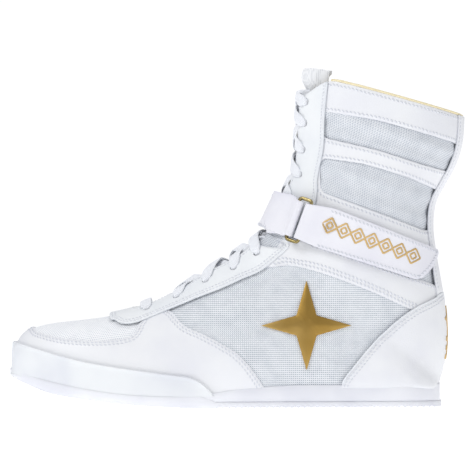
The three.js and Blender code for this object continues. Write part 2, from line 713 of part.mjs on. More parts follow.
// Heights of the upper and the lower lace of a crossing, at distances from the throat's middle line.
const upperCrossing = [[-edge, laceOver], [-4.6, -0.1], [0, -0.2], [4.8, -0.6], [dive, low]];
const lowerCrossing = [[-edge, laceOver], [-6.2, -2.4], [0, -2.8], [4.8, -3.2], [dive, low]];
const upperHidden = [[-dive, low], [-4.8, -1.6], [0, -1.6], [4.8, -1.6], [dive, low]];
const lowerHidden = [[-dive, low], [-4.8, -3.9], [0, -3.9], [4.8, -3.9], [dive, low]];

// The lace's turn through an eyelet, from under the stay to over it.
function throughEyelet({ point, normal, outward, up }) {
  const near = 0.3 * bend;
  const turn = [
    [-bend, low], [-near, low + near], [0, low + bend],
    [0, laceOver - bend], [-near, laceOver - near], [-bend, laceOver],
  ];
  return turn.map(([out, height]) => ({
    at: point.clone().addScaledVector(outward, out).addScaledVector(normal, height),
    wide: up,
  }));
}

// The last's ridge nearest to the eyelets, as a distance from the throat's middle line.
function ridge(along) {
  const round = (roundSteps - 1) / roundSteps;
  return lastPoint(along, 1, 0).y - lastPoint(along, round, 0).y;
}

// The lace across the throat, from one side's eyelet to the other side's next one. It follows the
// last's ridges over or under the stays on the way, and a tucked end stops inside the throat.
function crossing(start, startSign, end, heights) {
  const [lastSideways, lastHeight] = heights[heights.length - 1];
  const first = [-ridge(start), heights[0][1]];
  const final = [ridge(end), lastHeight];
  const isTurn = ([sideways]) => Math.abs(sideways) > edge + 0.5 && Math.abs(sideways) < reach - bend - 0.5;
  const farTurns = lastSideways > 0 ? [final].filter(isTurn) : [];
  const bends = [...[first].filter(isTurn), ...heights, ...farTurns];
  return bends.map(([sideways, height]) => {
    const share = (sideways + reach) / (2 * reach);
    const along = start + share * (end - start);
    const round = roundAt(along, -startSign * sideways);
    const up = lastPoint(along + 0.05, round, 0).sub(lastPoint(along - 0.05, round, 0)).normalize();
    return { at: lastPoint(along, round, height), wide: up };
  });
}

// One half of the lace, from the bar up to its tucked end. The first half lies over the second.
function laceHalf(startSide, isUpper) {
  const stops = throughEyelet(eyelets[startSide][0]).reverse();
  let side = startSide;
  for (let i = 0; i + 1 < eyeletSpots.length; i++) {
    const sign = side === 0 ? -1 : 1;
    const visible = isUpper ? upperCrossing : lowerCrossing;
    const hidden = isUpper ? upperHidden : lowerHidden;
    stops.push(...crossing(eyeletAlongs[i], sign, eyeletAlongs[i + 1], i === 0 ? hidden : visible));
    side = 1 - side;
    stops.push(...throughEyelet(eyelets[side][i + 1]));
  }
  const sign = side === 0 ? -1 : 1;
  const last = eyeletAlongs[eyeletAlongs.length - 1];
  const tucked = [[-edge, laceOver], [-edge + 3, -1], [-edge + 5, low + 0.6]];
  return [...stops, ...crossing(last, sign, last + 1, tucked)];
}
const bar = [-8, 0, 8].map((sideways) => {
  const round = roundAt(eyeletAlongs[0], sideways || -1e-3);
  return { at: lastPoint(eyeletAlongs[0], round, laceOver), wide: eyelets[0][0].up };
});
const laceRoute = [...laceHalf(0, true).reverse(), ...bar, ...laceHalf(1, false)];
addPiece('lace', 'lace', flatBand(laceRoute, laceWidth, laceThickness));

// ---- The strap and its ring, on the lateral side of the ankle ----
// The place on the last behind a side-view spot, on the lateral side.
function placeAt(x, z) {
  const miss = ([along, round]) => {
    const p = lastPoint(THREE.MathUtils.clamp(along, 0, stations.length - 1.01), round, 0);
    return Math.hypot(p.x / lengthGrade - x, p.z / heightGrade - z);
  };
  let best = [17, 0.6];
  for (let step = 2; step > 1e-3; step /= 2) {
    for (let k = 0; k < 12; k++) {
      const [along, round] = best;
      const shifts = [-1, 0, 1];
      const near = shifts.flatMap((a) => shifts.map((r) => [along + a * step, round + r * step * 0.06]));
      best = near.reduce((left, right) => (miss(right) < miss(left) ? right : left));
    }
  }
  return best;
}
const [ringX, ringZ] = [44.4, 124]; // the ring's middle in the side view
const barLean = [0.34, 0.94]; // the way its long bars run
const [ringAlong, ringRound] = placeAt(ringX, ringZ);
const ringNormal = lastNormal(ringAlong, ringRound);
const barWay = new THREE.Vector3(barLean[0], 0, barLean[1]);
barWay.addScaledVector(ringNormal, -barWay.dot(ringNormal)).normalize();
const strapWay = barWay.clone().cross(ringNormal).normalize();
if (strapWay.x < 0) strapWay.negate();
const knuckleInner = ringWire / 2 + clearance;
const knuckleOuter = knuckleInner + strapLeather;
const ringLift = anchorLayer.outer + knuckleInner + 0.4; // the ring's plane over the last
const ringMiddle = lastPoint(ringAlong, ringRound, 0).addScaledVector(ringNormal, ringLift);
const ringHalfLength = 14.6; // half of a long bar's length, centre to centre
const ringCorner = 1.8;
const strapAtRing = 24.6; // the strap narrows where it folds round a bar

function ringPlace(barwise, strapwise, lift = 0) {
  return ringMiddle.clone().addScaledVector(barWay, barwise).addScaledVector(strapWay, strapwise)
    .addScaledVector(ringNormal, lift);
}

// A round wire on a closed path, all in the ring's plane.
function wireLoop(path, radius, sideCount) {
  const points = path.flatMap(([b, s], i) => {
    const [b0, s0] = path[(i + path.length - 1) % path.length];
    const [b1, s1] = path[(i + 1) % path.length];
    const length = Math.hypot(b1 - b0, s1 - s0);
    const [outB, outS] = [(s1 - s0) / length, -(b1 - b0) / length];
    return Array.from({ length: sideCount }, (_, k) => {
      const angle = (2 * Math.PI * k) / sideCount;
      const [out, lift] = [radius * Math.cos(angle), -radius * Math.sin(angle)];
      return ringPlace(b + out * outB, s + out * outS, lift);
    });
  });
  const triangles = ringTriangles(path.length, sideCount);
  const last = (path.length - 1) * sideCount;
  for (let k = 0; k < sideCount; k++) {
    const next = (k + 1) % sideCount;
    triangles.push([last + k, k, last + next], [last + next, k, next]);
  }
  return solidFrom(points, triangles);
}
const ringPath = [[1, 1], [-1, 1], [-1, -1], [1, -1]].flatMap(([b, s], corner) =>
  [0, 0.5, 1].map((share) => {
    const angle = ((corner + share) * Math.PI) / 2;
    return [
      b * (ringHalfLength - ringCorner) + ringCorner * Math.cos(angle),
      s * (ringReach / 2 - ringCorner) + ringCorner * Math.sin(angle),
    ];
  }),
);
const ringSides = 10;
addPiece('ring', 'metal', wireLoop(ringPath, ringWire / 2, ringSides));

const knuckleSides = 16;

// A sleeve of strap leather round one of the ring's bars.
function knuckle(strapwise) {
  const half = strapAtRing / 2;
  const profile = [
    [knuckleInner, -half], [knuckleOuter, -half], [knuckleOuter, half], [knuckleInner, half],
    [knuckleInner, -half],
  ].map(([radius, y]) => new THREE.Vector2(radius, y));
  const geometry = new THREE.LatheGeometry(profile, knuckleSides);
  const turn = new THREE.Matrix4().makeBasis(strapWay, barWay, strapWay.clone().cross(barWay));
  return solidOf(geometry.applyMatrix4(turn.setPosition(ringPlace(0, strapwise))));
}

// The strap's run from a sleeve down to its layer on the boot, in the side view's strap direction.
const strapLean = [barLean[1], -barLean[0]];
function strapRun(towards, layer, shares) {
  const middleHeight = (layer.outer + layer.inner) / 2;
  const barFoot = (knuckleInner + knuckleOuter) / 2;
  const sink = 0.4; // the run starts a little lower in the sleeve's wall, clear of the bar
  const start = { at: ringPlace(0, (towards * ringReach) / 2, -barFoot - sink), wide: barWay };
  const next = { at: ringPlace(0, towards * (ringReach / 2 + 1.2), -barFoot - 2 * sink), wide: barWay };
  const stops = shares.map((distance) => {
    const run = towards * (ringReach / 2 + distance);
    const [along, round] = placeAt(ringX + strapLean[0] * run, ringZ + strapLean[1] * run);
    return { at: lastPoint(along, round, middleHeight), wide: barWay };
  });
  return flatBand([start, next, ...stops], strapAtRing, strapLeather);
}

const anchorFront = [[42, 140.9], [8, 149], [-6, 128], [32, 113.4]];
const anchorSide = [[30, 143], [82, 126], [75.5, 101.5], [26, 117]];
const anchorSpan = shell(anchorLayer.outer, anchorLayer.inner);
const anchorPanel = anchorSpan.intersect(prism(anchorFront).add(prism(rounded(anchorSide, 4), 'medial')));
const anchorFold = knuckle(-ringReach / 2).add(strapRun(-1, anchorLayer, [3.5, 6, 9]));
addPiece('strap_anchor', 'leather', anchorPanel.add(anchorFold));
const padOutline = rounded([[63, 130], [80, 124.5], [74.5, 103.5], [57, 109]], 3);
addPiece('strap_pad_medial', 'foam', panel(padLayer, padOutline, 'medial'));

const baseOutline = rounded([[64, 131], [129, 106], [118, 88], [57, 108.5]], 3);
addPiece('strap_base', 'leather', panel(topOverlay, baseOutline, 'lateral'));
const tapeOutline = rounded([[68, 128], [127.5, 104.8], [117, 90.5], [62, 109.5]], 2);
addPiece('loop_patch', 'mesh', panel(loopLayer, tapeOutline, 'lateral'));
addPiece('hook_patch', 'mesh', panel(hookLayer, tapeOutline, 'lateral'));
const tailOutline = [[59.5, 134.9], [135.3, 105.2], [121, 85], [49.6, 108]];
const tailPanel = shell(tailLayer.outer, tailLayer.inner).intersect(prism(tailOutline, 'lateral'));
const tailFold = knuckle(ringReach / 2).add(strapRun(1, tailLayer, [3.5, 6, 9, 12]));
addPiece('strap_tail', 'leather', tailPanel.add(tailFold));

// ---- Emblems ----
// A star of four points, each point a kite, as a side-view outline.
function star(centreX, centreZ, tip, waist) {
  return Array.from({ length: 8 }, (_, k) => {
    const angle = (Math.PI * k) / 4;
    const radius = k % 2 === 0 ? tip : waist;
    return [centreX + radius * Math.cos(angle), centreZ + radius * Math.sin(angle)];
  });
}
const sideStar = star(46, 55, 30, 9.5);
addPiece('emblem_lateral', 'gold', panel(overlay, sideStar, 'lateral'));
addPiece('emblem_medial', 'gold', panel(overlay, sideStar, 'medial'));

// A row of diamonds joined at their tips, along the middle of the strap.
const diamondCount = 7;
const diamondPitch = 9.9;
const [firstX, firstZ] = [61.5, 121.4];
const diamonds = Array.from({ length: diamondCount }, (_, k) => {
  const x = firstX + k * diamondPitch * strapLean[0];
  const z = firstZ + k * diamondPitch * strapLean[1];
  const corner = (a, b) => [x + a * strapLean[0] + b * barLean[0], z + a * strapLean[1] + b * barLean[1]];
  return prism([corner(-6, 0), corner(0, -6.2), corner(6, 0), corner(0, 6.2)], 'lateral');
});
const diamondRow = diamonds.reduce((all, diamond) => all.add(diamond));
const strapEmblemSpan = shell(strapEmblemLayer.outer, strapEmblemLayer.inner);
addPiece('strap_emblem', 'gold', strapEmblemSpan.intersect(diamondRow));

// A small star over bars, up the back of the heel, seen from behind.
function backPrism(outline) {
  const shape = new THREE.Shape(outline.map(([y, z]) => new THREE.Vector2(y, z)));
  const geometry = new THREE.ExtrudeGeometry(shape, { depth: farOut, bevelEnabled: false });
  geometry.applyMatrix4(new THREE.Matrix4().makeBasis(
    new THREE.Vector3(0, 1, 0), new THREE.Vector3(0, 0, 1), new THREE.Vector3(1, 0, 0),
  ));
  return solidOf(geometry.translate(100 * lengthGrade, 0, 0).scale(1, 1, heightGrade));
}
const heelBars = [44, 38, 32].map((z) => backPrism([[-6, z], [6, z], [6, z + 3], [-6, z + 3]]));
const heelSpine = backPrism([[-1, 33], [1, 33], [1, 54], [-1, 54]]);
const heelMark = heelBars.reduce((all, one) => all.add(one), heelSpine.add(backPrism(star(0, 59, 8.5, 3.2))));
const heelEmblemLayer = layerOver(topOverlay.outer + clearance, emblemThickness);
const heelEmblemSpan = shell(heelEmblemLayer.outer, heelEmblemLayer.inner);
addPiece('emblem_heel', 'gold', heelEmblemSpan.intersect(heelMark));

// ---- The frame: the origin under the middle of the boot, on the floor ----
const bounds = new THREE.Box3().setFromObject(boot, true);
const middle = bounds.getCenter(new THREE.Vector3());
boot.position.set(-middle.x, -middle.y, -bounds.min.z);

export default boot;
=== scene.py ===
# %% [markdown]
# # A lace-up boxing boot with an ankle strap
# A boxing boot is a stack of thin layers pulled over a last, which is a solid foot shape. This lesson
# first writes the last as one smooth surface, then cuts every panel of leather, mesh and lining from
# that surface at its own height above it, so that nothing has to be fitted by eye. Soles, lace, ring
# and strap folds are profiles carried along paths. Sizes are in millimetres until the last moment.

import functools
import json
import math

import bmesh
import bpy
import numpy as np
from mathutils.geometry import delaunay_2d_cdt
from mathutils.kdtree import KDTree
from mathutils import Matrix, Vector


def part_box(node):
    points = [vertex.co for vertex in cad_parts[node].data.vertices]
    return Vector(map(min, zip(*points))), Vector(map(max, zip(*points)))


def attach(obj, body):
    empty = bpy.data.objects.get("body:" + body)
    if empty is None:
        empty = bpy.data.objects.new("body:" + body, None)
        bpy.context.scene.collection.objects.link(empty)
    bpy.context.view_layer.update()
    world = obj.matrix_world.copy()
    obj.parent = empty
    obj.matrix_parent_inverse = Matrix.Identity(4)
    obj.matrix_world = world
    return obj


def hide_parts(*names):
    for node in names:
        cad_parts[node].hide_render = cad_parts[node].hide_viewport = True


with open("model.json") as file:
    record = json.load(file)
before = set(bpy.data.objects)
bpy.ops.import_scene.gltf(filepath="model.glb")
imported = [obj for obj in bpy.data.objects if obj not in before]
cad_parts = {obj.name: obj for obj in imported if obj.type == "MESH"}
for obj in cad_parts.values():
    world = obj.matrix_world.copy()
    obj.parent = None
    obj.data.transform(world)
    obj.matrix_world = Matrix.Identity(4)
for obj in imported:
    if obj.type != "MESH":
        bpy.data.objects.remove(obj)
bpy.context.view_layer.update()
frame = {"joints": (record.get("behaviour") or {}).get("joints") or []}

# %% [markdown]
# ## Camera, light and floor
# A shoe is best shown square on, from far away through a long lens, so that the sole looks flat. A
# camera close by would swell the side that is nearest. A white boot on a white floor only shows its
# shape if the light is soft but not even: one big lamp in front and to the left, a weaker one on the
# right, one above and behind, and a bright surround.

# %% Camera
MM = 0.001
LENS = 300.0  # mm, on the camera's 36 mm sensor
VIEW_WIDTH = 0.3176  # metres across the view at the boot
EYE = (0.0, 0.1139)  # where the camera looks: x and z
NEAR_FACE = -0.022  # the side of the boot that faces the camera

camera_data = bpy.data.cameras.new("camera")
camera_data.lens = LENS
camera = bpy.data.objects.new("camera", camera_data)
camera.location = (EYE[0], NEAR_FACE - VIEW_WIDTH * LENS / camera_data.sensor_width, EYE[1])
camera.rotation_euler = (math.pi / 2, 0, 0)
bpy.context.scene.collection.objects.link(camera)
bpy.context.scene.camera = camera
print("camera at", [round(value, 3) for value in camera.location])


# %% Lamps and surround
def lamp(name, place, aim, size, power):
    """An area lamp that shines from one place towards another."""
    data = bpy.data.lights.new(name, "AREA")
    data.size = size
    data.energy = power
    light = bpy.data.objects.new(name, data)
    light.location = place
    direction = Vector(aim) - light.location
    light.rotation_euler = direction.to_track_quat("-Z", "Y").to_euler()
    bpy.context.scene.collection.objects.link(light)
    return light


KEY_POWER, FILL_POWER, TOP_POWER = 7.5, 1.5, 4  # watts
SURROUND_LIGHT, BACKDROP = 0.55, 1.05  # the surround as the boot gets it, and as the camera sees it
lamp("key_light", (-0.85, -0.75, 1.15), (0, 0, 0.09), 0.6, KEY_POWER)
lamp("fill_light", (1.1, -0.9, 0.5), (0, 0, 0.1), 0.9, FILL_POWER)
lamp("top_light", (0.1, 0.35, 1.3), (0, 0, 0.1), 0.8, TOP_POWER)
world = bpy.data.worlds.new("surround")
world.use_nodes = True
sky = world.node_tree.nodes["Background"]
sky.inputs["Color"].default_value = (0.98, 0.985, 1.0, 1)
seen = world.node_tree.nodes.new("ShaderNodeLightPath")
level = world.node_tree.nodes.new("ShaderNodeMapRange")
level.inputs["To Min"].default_value, level.inputs["To Max"].default_value = SURROUND_LIGHT, BACKDROP
world.node_tree.links.new(seen.outputs["Is Camera Ray"], level.inputs["Value"])
world.node_tree.links.new(level.outputs["Result"], sky.inputs["Strength"])
bpy.context.scene.world = world
bpy.context.scene.view_settings.view_transform = "Standard"

# %% [markdown]
# ## The last
# A last can be drawn as sections that fan out from the instep. Each section starts at the sole or at
# the back of the heel, and ends on the top line of the foot or the shin. Between them run smooth
# curves, so the whole foot and ankle is one function of two numbers: how far along the fan, and how
# far up and round the section. A third number grows it, and that gives every layer.

# %% Sole rows and last stations
# Sole: x, half width, centre y, tread z, seat z.
SOLE_ROWS = np.array([
    [-154, 0, 6, 20.5, 25.5], [-152.4, 10, 6, 19.8, 25.1], [-148, 20.5, 5.8, 18, 24.2],
    [-140, 30, 5.2, 14.9, 21.8], [-126, 38, 3.8, 9.8, 18], [-105, 44, 1.8, 6.2, 13.6],
    [-82, 47.3, 0.6, 3.4, 10.2], [-55, 48.4, -1, 1.4, 8.3], [-25, 45, -3.6, 0, 8.6],
    [-14, 43, -4.2, 0, 10.2], [0, 40.5, -4.8, 0, 12.7], [35, 36, -4.6, 0, 15.2],
    [70, 34.2, -2.8, 0, 15.4], [100, 34, -1, 0, 15.4], [118, 30.5, -0.3, 0, 15.5],
    [130, 21.5, 0, 0, 15.7], [136, 10, 0, 0, 15.9], [137.8, 0, 0, 0, 16],
])
# Foot: bottom x, top x, top z, half width, share where widest, squareness, top centre y.
FOOT = np.array([
    [-151, -151, 36, 0, 0.3, 2.5, 6], [-149.6, -149.6, 42, 14, 0.3, 2.5, 6],
    [-145, -145, 49, 21.5, 0.32, 2.5, 5.8], [-137, -137, 54, 29.3, 0.34, 2.5, 5.4],
    [-124, -124, 57, 36, 0.35, 2.4, 5], [-105, -105, 59.2, 41.5, 0.34, 2.3, 4.6],
    [-84, -84, 62.3, 44.8, 0.32, 2.1, 4.2], [-60, -62, 68.3, 46, 0.28, 1.9, 3.8],
    [-32, -40, 80, 44.5, 0.26, 1.75, 3.2], [0, -22, 92.3, 42, 0.28, 1.7, 2.6],
    [35, -8, 100.7, 39.5, 0.32, 1.7, 2], [70, -1, 105.3, 38, 0.38, 1.75, 1.6],
    [100, 4, 108.8, 37.5, 0.45, 1.8, 1.3], [122, 7, 111, 37.2, 0.5, 1.85, 1.1],
    [134, 9.5, 112.9, 37, 0.5, 1.9, 1],
])
# Back of the heel and shaft: back x, back z, front x, front z, then as for the foot.
BACK = np.array([
    [138.2, 27, 11.7, 114.5, 37, 0.5, 1.9, 0.9], [140.1, 42, 13.8, 116, 37, 0.5, 1.9, 0.8],
    [139.6, 62, 16, 117.8, 36.6, 0.5, 1.9, 0.7], [137.3, 79, 19, 120.6, 36, 0.5, 1.9, 0.6],
    [133, 104, 31, 146, 35.5, 0.48, 1.95, 0.4], [131.1, 122, 36.3, 158, 35.8, 0.47, 2, 0.2],
    [133.1, 138, 38.3, 171, 36.4, 0.46, 2, 0], [139.8, 151, 39, 183, 37, 0.46, 2, 0],
    [146.3, 163, 39.6, 194, 37.6, 0.46, 2, 0], [150.8, 178, 40.5, 207, 38.2, 0.46, 2, 0],
    [152.2, 197, 43, 226.5, 39, 0.46, 2, 0], [152.2, 212, 46, 240, 39.5, 0.46, 2, 0],
])
FEATHER_INSET = 3.2  # the upper's bottom edge lies this far inside the sole's edge
SEAT_DROP = 3.0  # the last's bottom runs this far under the seat
print("rows: sole", len(SOLE_ROWS), "foot", len(FOOT), "back", len(BACK))


# %% Smooth rows from a table
def spline(table, along):
    """Smooth rows between the rows of a table: on each span, the cubic whose slope at a row is half
    of the step from the row before it to the row after it."""
    ends = 2 * table[[0, -1]] - table[[1, -2]]
    rows = np.vstack([ends[:1], table, ends[1:]])
    along = np.clip(np.asarray(along, float), 0, len(table) - 1)
    i = np.minimum(along.astype(int), len(table) - 2)
    t = (along - i)[..., None]
    p0, p1, p2, p3 = (rows[i + k] for k in range(4))
    slope1, slope2 = (p2 - p0) / 2, (p3 - p1) / 2
    return (
        (2 * t**3 - 3 * t**2 + 1) * p1 + (t**3 - 2 * t**2 + t) * slope1
        + (3 * t**2 - 2 * t**3) * p2 + (t**3 - t**2) * slope2
    )


def sole_at(x):
    """The sole's smooth rows at any x: half width, centre y, tread z and seat z."""
    dense = spline(SOLE_ROWS, np.linspace(0, len(SOLE_ROWS) - 1, 2000))
    return np.stack([np.interp(x, dense[:, 0], dense[:, k]) for k in range(1, 5)], -1)


# %% The last as one table of stations
foot_sole = sole_at(FOOT[:, 0])
foot_rows = np.column_stack([
    FOOT[:, 0], foot_sole[:, 3] - SEAT_DROP, FOOT[:, 1], FOOT[:, 2], FOOT[:, 3],
    np.maximum(foot_sole[:, 0] - FEATHER_INSET, 0), FOOT[:, 4], FOOT[:, 5], foot_sole[:, 1], FOOT[:, 6],
])
back_rows = np.column_stack([
    BACK[:, :5], np.zeros(len(BACK)), BACK[:, 5], BACK[:, 6], np.zeros(len(BACK)), BACK[:, 7],
])
STATIONS = np.vstack([foot_rows, back_rows])
HEEL = len(FOOT) - 1  # the station where the bottom line turns up the back of the heel
LAST_STATION = len(STATIONS) - 1
cad_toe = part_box("outsole")[0]
cad_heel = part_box("outsole")[1]
SHIFT = np.array([
    cad_toe.x / MM - SOLE_ROWS[0, 0],
    cad_heel.y / MM - (SOLE_ROWS[:, 2] + SOLE_ROWS[:, 1]).max(),
    0.0,
])  # from the drawing's origin to the part's
print("stations", len(STATIONS), "shift", SHIFT.round(2))


def unit(vectors):
    """Vectors at length one."""
    return vectors / np.maximum(np.linalg.norm(vectors, axis=-1, keepdims=True), 1e-9)


# %% The last's surface
def last(along, round_, grow=0.0):
    """The last's surface. along is the place in the fan of stations. round_ is 0 at the bottom or back
    and 1 at the top or front, and reaches 2 at the bottom again on the medial side; it wraps. Minus
    along is the other side. A section's width follows a quarter ellipse from its foot up to its widest
    place, and a quarter superellipse from there to the top. grow moves all of it outwards."""
    along, round_, grow = np.broadcast_arrays(*(np.asarray(v, float) for v in (along, round_, grow)))
    side = np.where(along < 0, 1.0, -1.0)
    along = np.abs(along)
    turn = np.mod(round_, 2.0)
    side = np.where(turn > 1, -side, side)
    turn = np.where(turn > 1, 2 - turn, turn)
    s = spline(STATIONS, along)
    step = 0.05
    ahead = spline(STATIONS, np.minimum(along + step, LAST_STATION))
    behind = spline(STATIONS, np.maximum(along - step, 0))
    run = ahead - behind
    front_out = unit(np.stack([-run[..., 3], run[..., 2]], -1))
    heel_out = unit(np.stack([run[..., 1], -run[..., 0]], -1))
    plan = unit(np.stack([-run[..., 4], run[..., 0]], -1))
    on_sole = np.clip((HEEL + 0.9 - along) / 0.8, 0, 1)[..., None]
    on_sole = on_sole * on_sole * (3 - 2 * on_sole)
    sole_out = np.stack([plan[..., 0], np.full_like(plan[..., 0], 0.05)], -1)
    back_out = on_sole * sole_out + (1 - on_sole) * heel_out
    spread = on_sole[..., 0] * np.clip(plan[..., 1], 0, 1) + 1 - on_sole[..., 0]
    share = (1 - np.cos(np.pi * turn)) / 2
    half = np.maximum(s[..., 4] + grow * spread, 0)
    foot = np.where(s[..., 5] > 0.2, np.maximum(s[..., 5] + grow * spread, 0), 0)
    foot = foot * np.clip((HEEL + 0.6 - along) / 0.6, 0, 1)
    widest, square = s[..., 6], s[..., 7]
    low = foot + (half - foot) * np.sqrt(np.clip(1 - (1 - share / widest) ** 2, 0, 1))
    high_share = np.clip((share - widest) / (1 - widest), 0, 1)
    high = half * np.clip(1 - high_share**square, 0, 1) ** (1 / square)
    width = np.where(share < widest, low, high)
    back = s[..., 0:2] + grow[..., None] * back_out
    front = s[..., 2:4] + grow[..., None] * front_out
    line = back + share[..., None] * (front - back)
    centre = s[..., 8] + share * (s[..., 9] - s[..., 8])
    return np.stack([line[..., 0], centre + side * width, line[..., 1]], -1)


# %% Directions and steps on the last
def last_frame(along, round_, grow=0.0):
    """Directions on the last: up the fan, round the section, and outwards from the surface."""
    step_a, step_r = 0.02, 0.004
    by_along = (last(along + step_a, round_, grow) - last(along - step_a, round_, grow)) / (2 * step_a)
    by_round = (last(along, round_ + step_r, grow) - last(along, round_ - step_r, grow)) / (2 * step_r)
    turned = np.where(np.asarray(along) < 0, -1.0, 1.0)[..., None]
    return by_along, by_round, unit(np.cross(by_along, by_round)) * turned * -1


def walk(place, offset, grow=0.0):
    """The place on the last that is a small vector away from a place, as along and round: the vector
    is split into the two surface directions by least squares."""
    by_along, by_round, _ = last_frame(place[..., 0], place[..., 1], grow)
    aa, ar, rr = (
        (u * v).sum(-1) for u, v in ((by_along, by_along), (by_along, by_round), (by_round, by_round))
    )
    a, r = (by_along * offset).sum(-1), (by_round * offset).sum(-1)
    det = np.maximum(aa * rr - ar * ar, 1e-6)
    return place + np.stack([(a * rr - r * ar) / det, (r * aa - a * ar) / det], -1)


# %% From the side view to the last
FINE = np.linspace(0, LAST_STATION, 2600)
FINE_ROWS = spline(STATIONS, FINE)


def locate(points):
    """The place on the lateral side behind side-view points: the section line that a point lies on is
    the one where the cross product with the line is least, and its share of the line gives round."""
    points = np.asarray(points, float)[:, None, :]
    back, front = FINE_ROWS[None, :, 0:2], FINE_ROWS[None, :, 2:4]
    line = front - back
    length2 = (line**2).sum(-1)
    rel = points - back
    off = np.abs(rel[..., 0] * line[..., 1] - rel[..., 1] * line[..., 0]) / np.sqrt(length2)
    share = (rel * line).sum(-1) / length2
    off = off + 200 * (np.maximum(share - 1, 0) + np.maximum(-share, 0)) * np.sqrt(length2) / 100
    best = off.argmin(1)
    picked = np.clip(share[np.arange(len(best)), best], 0, 1)
    return np.column_stack([FINE[best], np.arccos(1 - 2 * picked) / np.pi])


print("last's height", last(LAST_STATION, 1.0)[2].round(1), "mm at the shin")

# %% [markdown]
# ## Cutting panels from the last
# A pattern cutter tapes the last, draws the seams on it and lays the tape flat. The same is done here:
# every seam is a line in the side view, it is carried to the two surface numbers, and a triangulation
# of that flat chart, with the seams as edges, gives panels with exact outlines and even faces. A
# boolean cut would leave long thin faces on a curved skin, so it isn't used.

# %% Side-view outlines in millimetres, x then z
COLLAR = [
    [0, 199], [39, 205.8], [46.9, 211], [60.7, 219], [73.4, 217.2], [103.6, 209.2], [153, 195.8], [180, 188]
]
LINER_SEAM = [[-20, 131], [28, 102], [60, 96], [100, 80], [180, 52]]
VAMP_SEAM = [[-58, 110], [-51, 55], [-44, 0]]
RAND_TOP = [
    [-175, 43], [-150.2, 42.5], [-139, 39.5], [-118.5, 33.8], [-98, 29.2], [-70.4, 25.1], [-46.9, 22.1],
    [-31.3, 20.1], [-23, 15.9], [-16.4, 9.7],
]
MUDGUARD = [
    [-175, 55], [-141, 53.9], [-134, 50.3], [-118.6, 46.6], [-103.2, 45.2], [-87.8, 45.2], [-75.4, 46.7],
    [-69.2, 49.7], [-64, 59], [-56, 64], [-46, 65], [-35.5, 54.9], [-22.1, 48.9], [-10.7, 42.9],
    [0, 36.2], [9.4, 26.1], [18.8, 12],
]
ANKLE_TOP = [[14, 110], [24, 113], [42.9, 111.6], [135.3, 81], [190, 62.6]]
ANKLE_LOW = [
    [12, 95], [22.8, 94], [34.8, 95.1], [53.2, 90.9], [73.4, 83.9], [93.7, 75.8], [115.9, 65.7],
    [150, 52], [190, 48],
]
FRAME_LOW = [[40, 131], [132, 98], [190, 80]]
UPPER_WINDOW = [
    [56, 198.2], [94.2, 191.5], [150, 176], [144, 157], [122.5, 162.4], [94.2, 171.4], [56, 180.6]
]
LOWER_WINDOW = [[55, 167], [84.8, 162.5], [113.1, 154], [136.5, 144.5], [129, 117], [113.1, 123], [55, 144.4]]
STAY_TOP = [
    [60.7, 221], [58.3, 194.8], [57.4, 174], [53.6, 154.2], [52.7, 141], [49, 129], [42, 124], [20, 122]
]
FOXING = [
    [69.4, 0], [69.4, 15], [79.5, 29.1], [91.7, 43.3], [103.9, 55.5], [117.9, 65.7], [132.2, 72.7],
    [138.3, 76.8], [190, 104],
]
BACKSTAY = [
    [133.4, 74.6], [129.4, 104], [127.4, 122], [129.2, 138], [135.8, 151], [142.3, 163], [146.8, 178],
    [148.4, 204]
]
STAY_LOW = [
    [-86.3, 110], [-86.3, 63.5], [-82.2, 58], [-76.7, 55.6], [-67.9, 56.3], [-59.6, 59.4], [-48.7, 63.9],
    [-37.8, 68.3], [-26.8, 73], [-10.5, 79.2], [3.3, 85.4], [14.7, 90.2], [22.8, 96], [33, 105.1],
    [34.5, 109.5], [31, 113], [16, 119],
]
THROAT_HALF = 11.0  # half of the gap between the lace stays
THROAT_FRONT = -60.0  # the x at which the gap starts
THROAT_CENTRES = np.array([  # x and y of the gap's middle line
    [-150, 4.4], [THROAT_FRONT, 3.8], [-22, 2.6], [7, 1.1], [30, 0.4], [62, 0], [190, 0],
])
print("outline points", sum(len(outline) for outline in (
    COLLAR, LINER_SEAM, VAMP_SEAM, RAND_TOP, MUDGUARD, ANKLE_TOP, ANKLE_LOW, FRAME_LOW, UPPER_WINDOW,
    LOWER_WINDOW, STAY_TOP, FOXING, BACKSTAY, STAY_LOW)))


# %% Lines: smoothed, evened, rounded, measured
def smooth_line(points, step=1.0, closed=False):
    """The spline through points, at even steps of length."""
    points = np.asarray(points, float)
    table = np.vstack([points[-2:], points, points[:3]]) if closed else points
    span = (2, len(table) - 3) if closed else (0, len(table) - 1)
    dense = spline(table, np.linspace(*span, 60 * len(table)))
    return even_steps(dense, step)


def even_steps(line, step):
    """A polyline with its points moved to equal distances along it."""
    length = np.concatenate([[0], np.cumsum(np.linalg.norm(np.diff(line, axis=0), axis=1))])
    count = max(int(round(length[-1] / step)), 2)
    wanted = np.linspace(0, length[-1], count + 1)
    return np.stack([np.interp(wanted, length, line[:, k]) for k in range(line.shape[1])], -1)


def rounded(points, radius, step=1.0):
    """A closed polygon with each corner replaced by a quadratic curve that starts and ends radius
    away from it."""
    points = np.asarray(points, float)
    before, after = np.roll(points, 1, 0) - points, np.roll(points, -1, 0) - points
    reach = [np.minimum(radius, 0.45 * np.linalg.norm(v, axis=1))[:, None] * unit(v) for v in (before, after)]
    t = np.linspace(0, 1, 7)[None, :, None]
    start, end = points + reach[0], points + reach[1]
    arc = (1 - t) ** 2 * start[:, None] + 2 * t * (1 - t) * points[:, None] + t**2 * end[:, None]
    ring = arc.reshape(-1, 2)
    return even_steps(np.vstack([ring, ring[:1]]), step)


